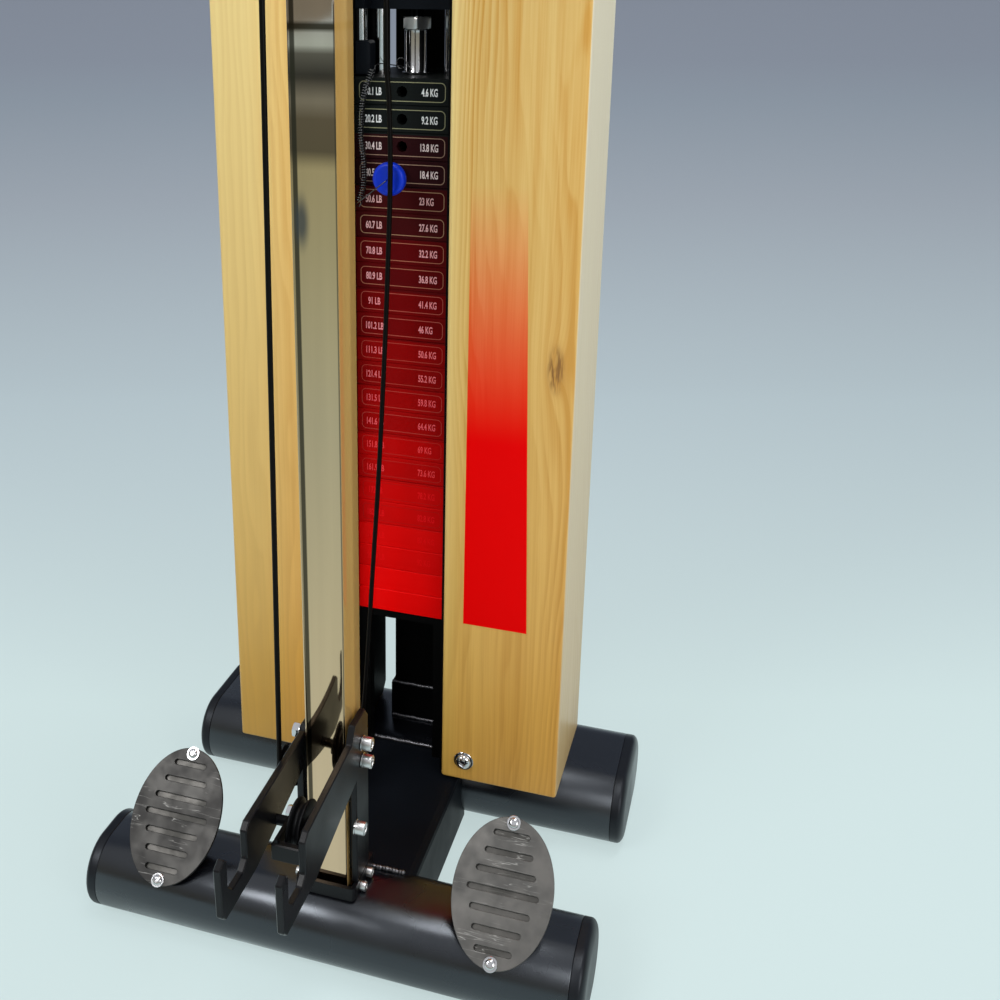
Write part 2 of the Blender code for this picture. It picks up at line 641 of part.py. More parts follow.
def guide_mounts():
    """The rear guide pulley's bracket, bolted on the spine."""
    y, z = REAR_GUIDE[:2]
    x = RETURN_X + 1
    half = 7 + 1
    foot = SPINE_HEIGHT + GAP
    fork = box("rear_guide_bracket", (x - half - 6, y - 20, foot), (x + half + 6, y + 20, foot + 7.7))
    for low in (x - half - 6, x + half):
        cheek = rounded([(y - 14, foot + 3.7), (y + 14, foot + 3.7), (y + 14, z + 12), (y - 14, z + 12)], [0, 0, 8, 8], 3)
        add(fork, prism("add_guide_cheek_%d" % (100 + low), cheek, "X", low, low + 6))
    add(fork, turned("add_guide_axle", "X", (y, z), ((x - half - 3, 6), (x + half + 3, 6)), 16))
    paint(fork, "black_steel")


# Crown

def crown():
    """The bracket over the column and between the posts that holds the upper pulleys and the rods."""
    low, high = COLUMN_TOP + 3, CROWN_FRONT[1] + 45
    front, back = COLUMN_FRONT - 10, STACK_Y + 23
    outline = [(front, low), (back, low), (back, high), (back - 33, high + 4), (front + 48, high + 4), (front, high - 15)]
    obj = prism("crown_bracket", rounded(outline, [3, 3, 3, 3, 10, 14], 2), "X", 13, 19)
    second = prism("add_crown_left", rounded(outline, [3, 3, 3, 3, 10, 14], 2), "X", -19, -13)
    add(obj, second,
        box("add_crown_foot", (-24, COLUMN_FRONT, COLUMN_TOP + 1), (24, COLUMN_BACK, COLUMN_TOP + 35)),
        box("add_crown_web", (-15, -110, low + 4), (15, -80, high - 60)),
        box("add_crown_bar", (-66, back - 46, COLUMN_TOP - 30), (66, back, low + 4)))
    for k, (y, z, _) in enumerate((CROWN_FRONT, CROWN_REAR, CROWN_RETURN)):
        add(obj, turned("add_crown_axle_%d" % k, "X", (y, z), ((-17, 6), (17, 6)), 16))
    for x, word in ((-ROD_X, "left"), (ROD_X, "right")):
        cut(obj, turned("cut_crown_rod_" + word, "Z", (x, STACK_Y), ((COLUMN_TOP - 40, ROD_RADIUS + 0.5), (COLUMN_TOP - 10, ROD_RADIUS + 0.5)), 16))
    paint(obj, "black_steel")


# Carriage

def carriage():
    outer = rectangle(-34, 34, -258, -184, 6, 3)
    inner = rectangle(-26.2, 26.2, COLUMN_FRONT - 1.2, COLUMN_BACK + 1.2, 5, 3)
    rings = [[place("Z", at, *p) for p in ring] for at, ring in (
        (CARRIAGE_BOTTOM, outer), (CARRIAGE_TOP, outer), (CARRIAGE_TOP, inner), (CARRIAGE_BOTTOM, inner))]
    obj = loft("carriage", rings, closed=True, origin=(0, -221, 1450))
    add(obj, box("add_carriage_lug", (-51, -270, CARRIAGE_BOTTOM), (-30, -244, CARRIAGE_BOTTOM + 16)))
    paint(obj, "plastic")
    y, z, _ = CARRIAGE_PULLEY
    bracket = box("pulley_bracket", (-19, -262, z - 55), (19, -258.3, z + 55), origin=(0, -260, z))
    for x in (-19, 13):
        cheek = rounded([(-259.5, z - 50), (-259.5, z + 50), (y - 14, z + 24), (y - 32, z + 10),
                         (y - 32, z - 40), (y + 6, z - 46)], [0, 0, 12, 8, 8, 8], 2)
        add(bracket, prism("add_bracket_cheek_%d" % (x + 20), cheek, "X", x, x + 6))
    add(bracket, turned("add_bracket_axle", "X", (y, z), ((-16, 6), (16, 6)), 16))
    paint(bracket, "black_steel")
    knob = turned("lock_knob", "X", (-221, z),
                  ((34.3, 6), (46, 6), (46, 14), (49, 18), (64, 18), (68, 14)), 12, origin=(50, -221, z))
    paint(knob, "plastic")


def ball_stop():
    """The cable's end: round the carriage pulley, out to a ball with the eye that the hook hangs in."""
    y, z, radius = CARRIAGE_PULLEY
    path = [(0, *p) for p in arc(y, z, radius, 0, -90, 8)] + [(0, -348, z - radius)]
    obj = sweep("handle_cable", path, CABLE_RADIUS, 6, origin=(0, y, z))
    middle = -358.0
    profile = [(middle + 15 * math.sin(math.radians(a)), 15 * math.cos(math.radians(a)))
               for a in (75, 45, 15, -15, -45, -75)]
    ball = turned("add_ball", "Y", (0, z - radius), profile[::-1], 12)
    tab = prism("add_ball_tab", rounded([(middle - 9, z - radius - 6), (middle + 9, z - radius - 6),
                                         (middle + 9, z - radius - 34), (middle - 9, z - radius - 34)],
                                        [0, 0, 8, 8], 3), "X", -3, 3)
    add(obj, ball, tab)
    cut(obj, turned("cut_ball_eye", "X", (middle, z - radius - 25), ((-6, 5), (6, 5)), 12))
    paint(obj, "cable")
    eye = (0, middle, z - radius - 25)
    ring = rounded([(-14, eye[2]), (14, eye[2]), (14, eye[2] - 66), (-14, eye[2] - 66)], [7, 7, 13.5, 13.5], 4)
    path = [(x, middle, at - 1.0) for x, at in ring]
    hook = sweep("snap_hook", path, 3.5, 6, closed=True, origin=eye)
    paint(hook, "chrome")


# Cables held by the machine

def tangent(first, second):
    """Where a cable leaves one pulley and meets the next, turning clockwise on both."""
    c1, c2 = np.array(first[:2]), np.array(second[:2])
    apart = c2 - c1
    far = np.linalg.norm(apart)
    u = apart / far
    v = np.array([u[1], -u[0]])
    cosine = (second[2] - first[2]) / far
    normal = cosine * u + math.sqrt(1 - cosine * cosine) * v
    return c1 - first[2] * normal, c2 - second[2] * normal


def angle_of(point, spec):
    return math.degrees(math.atan2(point[1] - spec[1], point[0] - spec[0]))


def cables():
    r = CABLE_RADIUS
    front = CROWN_FRONT[0] - CROWN_FRONT[2]
    run = [(0, front, CARRIAGE_PULLEY[1] + GAP), (0, front, CROWN_FRONT[1] - GAP)]
    paint(sweep("carriage_cable", run, r, 6), "cable")
    over = arc(*CROWN_FRONT, 180, 90, 8) + arc(*CROWN_REAR, 90, 0, 8)
    paint(sweep("crown_cable", [(0, *p) for p in over], r, 6), "cable")
    rear, near = FLOATING[0] + FLOATING[2], FLOATING[0] - FLOATING[2]
    paint(sweep("stack_cable_rear", [(0, rear, CROWN_REAR[1] - GAP), (0, rear, FLOATING[1] + GAP)], r, 6), "cable")
    paint(sweep("yoke_cable", [(0, *p) for p in arc(*FLOATING, 0, -180, 16)], r, 6), "cable")
    paint(sweep("stack_cable_front", [(0, near, FLOATING[1] + GAP), (0, near, CROWN_RETURN[1] - GAP)], r, 6), "cable")
    over = [(0.0, *p) for p in arc(*CROWN_RETURN, 0, 180, 14)]
    fall = smooth([(0, -16, CROWN_RETURN[1] - 25), (-0.3, -16, 1500), (-0.5, -16, 1100), (2.4, -16, 1019), (3.8, -16, 934),
                   (0.4, -16, 819), (-4.5, -16, 701), (-12.3, -16, 550), (-22, -16, 400),
                   (-34, -16, 220), (RETURN_X + 1, -16, 160)], 3)
    leave, meet = tangent(REAR_GUIDE, FRONT_GUIDE)
    low = [(RETURN_X + 1, *p) for p in arc(*REAR_GUIDE, 0, angle_of(leave, REAR_GUIDE), 10)]
    end = angle_of(meet, FRONT_GUIDE)
    low += [(RETURN_X, *p) for p in arc(*FRONT_GUIDE, end, -180, 6)]
    path = over + [tuple(p) for p in fall] + low
    paint(sweep("return_cable", path, r, 6), "cable")
    top = (RETURN_X, -257, CARRIAGE_BOTTOM - GAP)
    foot = (RETURN_X, FRONT_GUIDE[0] - FRONT_GUIDE[2], FRONT_GUIDE[1] + GAP + 0.2)
    paint(sweep("column_cable", [foot, top], r, 6), "cable")


foot_tubes()
spine()
foot_plates()
column()
fork()
posts()
stack_base()
weights()
stem()
yoke()
selector()
lanyard()
pulleys()
guide_mounts()
crown()
carriage()
ball_stop()
cables()
print(len(PARTS.objects), "objects")
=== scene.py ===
"""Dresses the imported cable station: finishes, round and printed pieces, cables, fasteners and the studio."""

import math

import bmesh
import bpy
import numpy as np
from mathutils import Matrix, Vector


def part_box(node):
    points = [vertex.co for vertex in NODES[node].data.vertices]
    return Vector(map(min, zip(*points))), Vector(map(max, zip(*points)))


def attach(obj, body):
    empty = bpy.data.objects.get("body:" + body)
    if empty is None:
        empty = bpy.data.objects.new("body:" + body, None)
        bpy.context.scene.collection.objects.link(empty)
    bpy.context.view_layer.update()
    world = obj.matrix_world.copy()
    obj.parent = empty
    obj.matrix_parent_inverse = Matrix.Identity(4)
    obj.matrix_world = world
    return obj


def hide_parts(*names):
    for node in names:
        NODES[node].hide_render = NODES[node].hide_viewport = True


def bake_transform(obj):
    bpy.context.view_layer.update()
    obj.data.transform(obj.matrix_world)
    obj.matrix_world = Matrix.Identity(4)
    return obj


bl_info = {
    "name": "Cable Station Dressing",
    "version": (1, 0, 0),
    "blender": (4, 5, 0),
    "location": "View3D > Sidebar > Station",
    "description": "Builds the finishes and small pieces of a wooden cable station round its solid model",
    "category": "Object",
}

MM = 0.001
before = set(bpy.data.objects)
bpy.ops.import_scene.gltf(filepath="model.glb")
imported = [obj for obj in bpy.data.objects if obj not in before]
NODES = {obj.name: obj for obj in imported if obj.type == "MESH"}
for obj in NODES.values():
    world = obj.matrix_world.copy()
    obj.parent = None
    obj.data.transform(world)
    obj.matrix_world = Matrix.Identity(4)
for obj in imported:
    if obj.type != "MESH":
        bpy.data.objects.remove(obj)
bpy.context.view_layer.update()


def low(node):
    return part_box(node)[0]


def high(node):
    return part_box(node)[1]


def middle(node):
    return (low(node) + high(node)) / 2


# Places read from the frame
POST_FRONT = low("post_right").y
FORK_SIDE = high("fork_plate_right").x
STACK_FRONT = low("weight_plate_1").y
STACK_TOP = high("weight_plate_1").z
PLATE_THICKNESS = high("weight_plate_1").z - low("weight_plate_1").z
PLATE_PITCH = high("weight_plate_1").z - high("weight_plate_2").z
PLATE_COUNT = 22
LIFTED_PLATES = 4
PLATE_KILOS = 4.6

# The right foot plate's middle and both plates' lean, then the camera's place, its turn about Z and its drop
# below level, with angles in degrees
FOOT_CENTRE = (0.2115, -0.2325, 0.142)
FOOT_LEAN = 44.6
CAMERA_PLACE = (0.44545, -1.34484, 1.16671)
CAMERA_TURN = 18.110
CAMERA_DROP = 17.572

# The painted band's left and right edges and foot, where it starts to fade and where it ends; the share of its
# height by which the right edge moves inwards; the right post's side face; the knot's X and Z and its half sizes
BAND = (0.098, 0.1834, 0.343, 0.60, 0.925)
BAND_SLANT = 0.0292
POST_SIDE = (0.2296, 0.2306)
KNOT = (0.207, 0.706)
KNOT_SIZE = (0.016, 0.045)

# The column's right corner, where its front gives way to its side
COLUMN_SIDE = (0.0245, 0.0249)

# An oval foot plate's half width and half height, its slots' pitch, half height and rounding
FOOT_SIZE = (0.0589, 0.0824)
SLOT_PITCH = 0.021
SLOT_HALF_HEIGHT = 0.0038
SLOT_ROUNDING = 0.00379


# Surfaces as arrays

def placed(name, data):
    """A new object of this data in the scene."""
    obj = bpy.data.objects.new(name, data)
    bpy.context.scene.collection.objects.link(obj)
    return obj


def shell(name, points, faces, material=None, smooth=True):
    """A mesh object at the origin from an array of points and an array of faces."""
    mesh = bpy.data.meshes.new(name)
    mesh.from_pydata(np.asarray(points, float).tolist(), [], [tuple(f) for f in faces])
    mesh.validate()
    if smooth:
        mesh.polygons.foreach_set("use_smooth", np.ones(len(mesh.polygons), bool))
    obj = placed(name, mesh)
    if material:
        obj.data.materials.append(material)
    return obj


def outward(obj):
    """Faces turned outwards after doubled points are merged."""
    made = bmesh.new()
    made.from_mesh(obj.data)
    bmesh.ops.remove_doubles(made, verts=made.verts, dist=1e-7)
    bmesh.ops.recalc_face_normals(made, faces=made.faces)
    if made.calc_volume(signed=True) < 0:
        bmesh.ops.reverse_faces(made, faces=made.faces)
    made.to_mesh(obj.data)
    made.free()
    return obj


def smooth_by_angle(obj, degrees):
    obj.data.set_sharp_from_angle(angle=math.radians(degrees))
    return obj


def grid_faces(rows, columns, wrap_rows=False, wrap_columns=True):
    """Quads of a grid of points, row by row, closed round in either direction if asked."""
    r = np.arange(rows if wrap_rows else rows - 1)
    c = np.arange(columns if wrap_columns else columns - 1)
    r, c = np.meshgrid(r, c, indexing="ij")
    r2, c2 = (r + 1) % rows, (c + 1) % columns
    return np.stack([r * columns + c, r * columns + c2, r2 * columns + c2, r2 * columns + c], -1).reshape(-1, 4)


def lofted(name, rings, material, degrees=35, bored=False):
    """Rings of equal length joined in order: both ends closed, or the last joined to the first if bored."""
    rows, columns = len(rings), len(rings[0])
    faces = grid_faces(rows, columns, wrap_rows=bored).tolist()
    if not bored:
        faces += [list(range(columns))[::-1], list(range((rows - 1) * columns, rows * columns))]
    obj = outward(shell(name, np.vstack(rings), faces, material))
    return smooth_by_angle(obj, degrees) if degrees else obj


def around(count):
    return np.linspace(0, 2 * np.pi, count, endpoint=False)


def ring(reach, angle, height):
    """A level ring of points: its distance from Z at each angle, one number or an array."""
    return np.stack([reach * np.cos(angle), reach * np.sin(angle), np.full(len(angle), height)], 1)


def stood(rings, place, axis):
    """Rings round Z moved to the place, with Z turned to the axis."""
    turn = np.array(Vector(axis).normalized().to_track_quat("Z", "Y").to_matrix())
    return [each @ turn.T + np.array(place, float) for each in rings]


def turned(name, profile, place, axis, count, material, degrees=40, bored=False):
    """A turned piece: the profile's (height, radius) pairs carried round an axis through the place."""
    rings = [ring(r, around(count), h) for h, r in profile]
    return lofted(name, stood(rings, place, axis), material, degrees, bored)


def tube(name, path, radius, sides, material):
    """A round tube: each point of the path carries a circle, in normals that turn as little as they can."""
    path = np.asarray(path, float)
    radius = np.broadcast_to(np.asarray(radius, float), (len(path),))
    along = np.gradient(path, axis=0)
    along /= np.linalg.norm(along, axis=1)[:, None]
    last = np.cross(along[0], (1.0, 0.0, 0.0) if abs(along[0][0]) < 0.9 else (0.0, 1.0, 0.0))
    side = np.empty_like(along)
    for k, direction in enumerate(along):
        last = last - direction * (last @ direction)
        last /= np.linalg.norm(last)
        side[k] = last
    other = np.cross(along, side)
    angle = around(sides)
    circle = np.cos(angle)[None, :, None] * side[:, None] + np.sin(angle)[None, :, None] * other[:, None]
    return lofted(name, path[:, None] + radius[:, None, None] * circle, material, None)


def joined(name, objs):
    """Several meshes made one piece."""
    bpy.ops.object.select_all(action="DESELECT")
    for obj in objs:
        obj.select_set(True)
    bpy.context.view_layer.objects.active = objs[0]
    bpy.ops.object.join()
    objs[0].name = name
    return objs[0]


def meshed(curve, matrix):
    """A curve made a mesh and moved by the matrix."""
    obj = placed("outline", curve)
    bpy.context.view_layer.update()
    mesh = bpy.data.meshes.new_from_object(obj.evaluated_get(bpy.context.evaluated_depsgraph_get()))
    bpy.data.objects.remove(obj)
    mesh.transform(matrix)
    mesh.materials.clear()
    return placed("outline", mesh)


def catmull(points, each):
    """A smooth curve through the points: each span is the usual cubic blend of its four neighbours."""
    p = np.asarray(points, float)
    p = np.vstack([2 * p[0] - p[1], p, 2 * p[-1] - p[-2]])
    t = np.linspace(0, 1, each, endpoint=False)[:, None]
    spans = [
        0.5 * (2 * b + (c - a) * t + (2 * a - 5 * b + 4 * c - d) * t ** 2 + (3 * b - a - 3 * c + d) * t ** 3)
        for a, b, c, d in zip(p[:-3], p[1:-2], p[2:-1], p[3:])
    ]
    return np.vstack([*spans, p[-2]])


def evenly(path, count):
    """A path's points set again at even distances along it."""
    length = np.concatenate([[0], np.cumsum(np.linalg.norm(np.diff(path, axis=0), axis=1))])
    at = np.linspace(0, length[-1], count)
    return at, np.stack([np.interp(at, length, path[:, k]) for k in range(3)], 1)


def length_of(path):
    return float(np.linalg.norm(np.diff(path, axis=0), axis=1).sum())


def rounded_rectangle(half_u, half_v, radius, steps):
    """Points of a rectangle with round corners, centred on zero, anticlockwise."""
    angle = np.linspace(0, np.pi / 2, steps)
    corners = []
    for k, (u, v) in enumerate(((1, 1), (-1, 1), (-1, -1), (1, -1))):
        a = angle + k * np.pi / 2
        corners.append(np.stack([u * (half_u - radius) + radius * np.cos(a),
                                 v * (half_v - radius) + radius * np.sin(a)], 1))
    return np.vstack(corners)


def flat(shape, shift, axis, at):
    """A flat outline moved by the shift and set at one place along an axis."""
    return np.insert(shape + shift, axis, at, axis=1)


def stand_in(piece, cad, body=None):
    """The smooth piece takes the place of a solid and its body."""
    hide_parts(cad)
    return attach(piece, body or "frame")


# Node helpers

def feed(made, inputs):
    """Fills a node's sockets: another node's output is linked, and any other value is set."""
    for key, value in inputs.items():
        if isinstance(value, bpy.types.NodeSocket):
            made.id_data.links.new(value, made.inputs[key])
        else:
            made.inputs[key].default_value = value


def node(tree, kind, inputs=None, **settings):
    made = tree.nodes.new(kind)
    for key, value in settings.items():
        setattr(made, key, value)
    feed(made, inputs or {})
    return made


def after(kind, inputs, **settings):
    """A node in the tree that its first linked input comes from."""
    tree = next(value.id_data for value in inputs.values() if isinstance(value, bpy.types.NodeSocket))
    return node(tree, kind, inputs, **settings).outputs


def maths(operation, a, b=0.0, clamp=False):
    return after("ShaderNodeMath", {0: a, 1: b}, operation=operation, use_clamp=clamp)[0]


def times(a, b):
    return maths("MULTIPLY", a, b)


def plus(a, b, clamp=False):
    return maths("ADD", a, b, clamp)


def minus(a, b):
    return maths("SUBTRACT", a, b)


def mix(factor, a, b):
    return after("ShaderNodeMix", {0: factor, 6: a, 7: b}, data_type="RGBA")[2]


def ramp(factor, stops, interpolation="LINEAR"):
    colour = after("ShaderNodeValToRGB", {"Fac": factor})[0]
    colour.node.color_ramp.interpolation = interpolation
    elements = colour.node.color_ramp.elements
    while len(elements) < len(stops):
        elements.new(0.5)
    for element, (at, tone) in zip(elements, stops):
        element.position = at
        element.color = tone
    return colour


def span(value, low_in, high_in, low_out=0.0, high_out=1.0, kind="LINEAR"):
    inputs = {"Value": value, "From Min": low_in, "From Max": high_in, "To Min": low_out, "To Max": high_out}
    return after("ShaderNodeMapRange", inputs, interpolation_type=kind)["Result"]


def window(value, rise, full, fall, gone):
    """One between two places, with a slope on either side."""
    return times(span(value, rise, full), span(value, fall, gone, 1.0, 0.0))


def oval(x, z, middle_x, middle_z, half_width, half_height):
    """The distance from a middle, in which an upright ellipse's edge is at one."""
    u = maths("DIVIDE", minus(x, middle_x), half_width)
    v = maths("DIVIDE", minus(z, middle_z), half_height)
    return maths("SQRT", plus(times(u, u), times(v, v)))


def noise(vector, detail, scale=1.0, **inputs):
    inputs = {"Vector": vector, "Scale": scale, "Detail": detail, **inputs}
    return after("ShaderNodeTexNoise", inputs)["Fac"]


def scaled(vector, scale, rotation=(0.0, 0.0, 0.0)):
    return after("ShaderNodeMapping", {"Vector": vector, "Rotation": rotation, "Scale": scale})[0]


def bumped(height, strength, distance):
    return after("ShaderNodeBump", {"Height": height, "Strength": strength, "Distance": distance})[0]


def axes(vector):
    return after("ShaderNodeSeparateXYZ", {"Vector": vector})[:]


def srgb(text, share=1.0):
    """A linear colour from its usual six-figure web form, darkened by a share."""
    parts = [int(text[k:k + 2], 16) / 255 for k in (0, 2, 4)]
    return (*(share * (c / 12.92 if c <= 0.04045 else ((c + 0.055) / 1.055) ** 2.4) for c in parts), 1.0)


def new_material(name):
    """A new material with its main shader and its object coordinates."""
    material = bpy.data.materials.new(name)
    material.use_nodes = True
    tree = material.node_tree
    return material, tree.nodes["Principled BSDF"], node(tree, "ShaderNodeTexCoord").outputs["Object"]


def new_group(name, inputs, outputs):
    """A node group with named sockets and its input and output nodes."""
    group = bpy.data.node_groups.new(name, "ShaderNodeTree")
    for label, kind, default in inputs:
        socket = group.interface.new_socket(label, in_out="INPUT", socket_type=kind)
        if default is not None:
            socket.default_value = default
    for label, kind in outputs:
        group.interface.new_socket(label, in_out="OUTPUT", socket_type=kind)
    return group, group.nodes.new("NodeGroupInput").outputs, group.nodes.new("NodeGroupOutput")


def grain_group():
    """Softwood grain: rings whose spacing changes across the face, long streaks, fine fibres, and slow toning."""
    group, given, out = new_group(
        "Softwood Grain",
        (("Vector", "NodeSocketVector", None), ("Pale", "NodeSocketColor", srgb("DCC083")),
         ("Dark", "NodeSocketColor", srgb("B58A44")), ("Bands", "NodeSocketFloat", 95.0),
         ("Shift", "NodeSocketFloat", 0.0), ("Contrast", "NodeSocketFloat", 1.0)),
        (("Color", "NodeSocketColor"), ("Height", "NodeSocketFloat")),
    )
    x, y, z = axes(given["Vector"])

    def stretched(across, along):
        """The place with X and Y scaled by across and Z by along, moved by the shift."""
        moved = {"X": plus(times(x, across), given["Shift"]), "Y": times(y, across), "Z": times(z, along)}
        return after("ShaderNodeCombineXYZ", moved)[0]

    wander = noise(stretched(9.0, 1.1), 3.0, Roughness=0.45)
    across = plus(x, times(y, 0.8))
    phase = plus(times(across, given["Bands"]), times(wander, 15.0))
    saw = maths("FRACT", phase)
    late = span(saw, 0.15, 0.85, 0.0, 1.0, "SMOOTHSTEP")
    band = times(late, span(saw, 0.86, 1.0, 1.0, 0.0, "SMOOTHSTEP"))
    streaks = noise(stretched(75.0, 0.9), 3.0)
    fine = noise(stretched(420.0, 5.0), 2.0)
    tone = noise(stretched(13.0, 1.0), 2.0)
    share = times(minus(band, 0.4), span(tone, 0.35, 0.65, 0.15, 0.6))
    for value, least, most in ((tone, -0.22, 0.22), (streaks, -0.2, 0.26), (fine, -0.14, 0.14)):
        share = plus(share, span(value, 0.35, 0.65, least, most))
    share = plus(times(share, given["Contrast"]), 0.42, True)
    feed(out, {"Color": mix(share, given["Pale"], given["Dark"]),
               "Height": plus(times(band, 0.5), fine)})
    return group


def speckle_group():
    """Fine orange-peel height and a slow cloud that varies a finish."""
    group, given, out = new_group(
        "Coat Texture",
        (("Vector", "NodeSocketVector", None), ("Grain Scale", "NodeSocketFloat", 900.0),
         ("Cloud Scale", "NodeSocketFloat", 9.0)),
        (("Grain", "NodeSocketFloat"), ("Cloud", "NodeSocketFloat")),
    )
    feed(out, {"Grain": noise(given["Vector"], 2.0, given["Grain Scale"]),
               "Cloud": noise(given["Vector"], 4.0, given["Cloud Scale"])})
    return group


GROUPS = {}


def placed_group(name, inputs):
    if not GROUPS:
        GROUPS.update(grain=grain_group(), coat=speckle_group())
    return after("ShaderNodeGroup", inputs, node_tree=GROUPS[name])


def speckled(coords, grain=900.0, cloud=9.0):
    """The orange peel's height and the slow cloud."""
    return placed_group("coat", {"Vector": coords, "Grain Scale": grain, "Cloud Scale": cloud})


# Finishes

def coated(name, tone, rough, grain=900.0, peel=0.12, swing=0.10, shine=0.5, tint=(1.0, 1.0, 1.0, 1.0)):
    """Powder coat or moulded plastic: one colour, a slow change of gloss and a fine orange peel."""
    material, shader, coords = new_material(name)
    height, cloud = speckled(coords, grain)
    feed(shader, {
        "Specular IOR Level": shine, "Specular Tint": tint,
        "Base Color": mix(span(cloud, 0.35, 0.65), srgb(tone), srgb(tone, 0.75)),
        "Roughness": span(cloud, 0.3, 0.7, rough - swing, rough + swing),
        "Normal": bumped(height, peel, 0.0004),
    })
    return material


def metal(name, tone, rough, swing=0.03, black_above=None):
    """Bright metal with faint clouds in its gloss, blackened above a height if asked."""
    material, shader, coords = new_material(name)
    cloud = speckled(coords, cloud=30.0)[1]
    colour = mix(span(cloud, 0.3, 0.7), srgb(tone), srgb(tone, 0.8))
    if black_above:
        colour = mix(span(axes(coords)[2], black_above, black_above + 0.001), colour, srgb("0A0A0B"))
    feed(shader, {"Metallic": 1.0, "Base Color": colour,
                  "Roughness": span(cloud, 0.3, 0.7, rough - swing, rough + swing)})
    return material


def foot_steel(name, pale, dark):
    """Worn sheet steel: cloudy patches, stains and a few fine bright scratches."""
    material, shader, coords = new_material(name)
    spots, cloud = speckled(coords, 60.0, 16.0)
    patches = plus(times(cloud, 0.6), times(spots, 0.4))
    bent = scaled(coords, (7.0, 130.0, 40.0), (0.5, 0.7, 0.4))
    off = maths("ABSOLUTE", minus(noise(bent, 3.0), 0.5))
    scratches = times(span(off, 0.0, 0.006, 0.6, 0.0), span(cloud, 0.5, 0.62))
    colour = mix(span(patches, 0.4, 0.6), srgb(pale), srgb(dark))
    feed(shader, {"Metallic": 0.7, "Base Color": mix(scratches, colour, srgb("B9B8B4")),
                  "Roughness": span(patches, 0.4, 0.6, 0.34, 0.5)})
    return material


def mirror(name):
    """Polished steel with painted reflections: bands of tone where a room mirrors in it, a dark band, a dark
    corner, a warm side that mirrors the wood beside it, and a dark patch; its faces lean back a little.
    """
    material, shader, coords = new_material(name)
    x, z = axes(coords)[::2]
    # Painted reflections: the room's tones as they mirror up the column's face, with dark bands where dark things
    # mirror in it.
    tones = ramp(span(z, 0.2, 1.2), [(at, (*tone, 1.0)) for at, tone in (
        (0.05, (0.74, 0.53, 0.34)), (0.25, (0.66, 0.48, 0.29)), (0.50, (0.54, 0.41, 0.25)),
        (0.70, (0.52, 0.38, 0.20)), (0.775, (0.54, 0.38, 0.19)), (0.792, (0.15, 0.105, 0.06)),
        (0.824, (0.16, 0.11, 0.065)), (0.842, (0.30, 0.22, 0.15)), (0.865, (0.045, 0.036, 0.028)),
        (0.888, (0.16, 0.13, 0.10)), (0.895, (0.62, 0.54, 0.44)), (0.9065, (0.56, 0.48, 0.40)),
        (0.909, (0.06, 0.05, 0.035)), (0.914, (0.06, 0.05, 0.035)), (0.917, (0.60, 0.52, 0.46)))])
    # Painted reflections: a dark band near the left edge, a dark right corner and a warm side face that mirrors the
    # wood beside it. The oval after them is a dark patch.
    edge = times(window(x, -0.0226, -0.0212, -0.0172, -0.0160), 0.9)
    corner = times(span(x, 0.0232, 0.0238, 0.0, 0.7), span(x, *COLUMN_SIDE, 1.0, 0.0))
    side = span(x, *COLUMN_SIDE, 0.0, 0.95)
    dark_patch = span(oval(x, z, -0.0135, 0.921, 0.011, 0.038), 0.2, 1.0, 0.85, 0.0, "SMOOTHSTEP")
    streaks = noise(scaled(coords, (30.0, 30.0, 1.2)), 5.0)
    for share, tone in ((edge, (0.03, 0.027, 0.018, 1.0)), (corner, (0.05, 0.04, 0.025, 1.0)),
                        (side, (0.45, 0.27, 0.078, 1.0)), (dark_patch, (0.06, 0.07, 0.08, 1.0)),
                        (span(streaks, 0.3, 0.7, 0.0, 0.16), (0.1, 0.08, 0.05, 1.0))):
        tones = mix(share, tones, tone)
    normal = node(material.node_tree, "ShaderNodeNewGeometry").outputs["Normal"]
    leaned = after("ShaderNodeVectorMath", {0: normal, 1: (0.0, 0.06, 0.0)}, operation="ADD")[0]
    leaned = after("ShaderNodeVectorMath", {0: leaned}, operation="NORMALIZE")[0]
    feed(shader, {"Metallic": span(x, *COLUMN_SIDE, 1.0, 0.1), "Specular IOR Level": 0.1,
                  "Base Color": tones, "Normal": leaned,
                  "Roughness": span(streaks, 0.3, 0.7, 0.035, 0.06)})
    return material


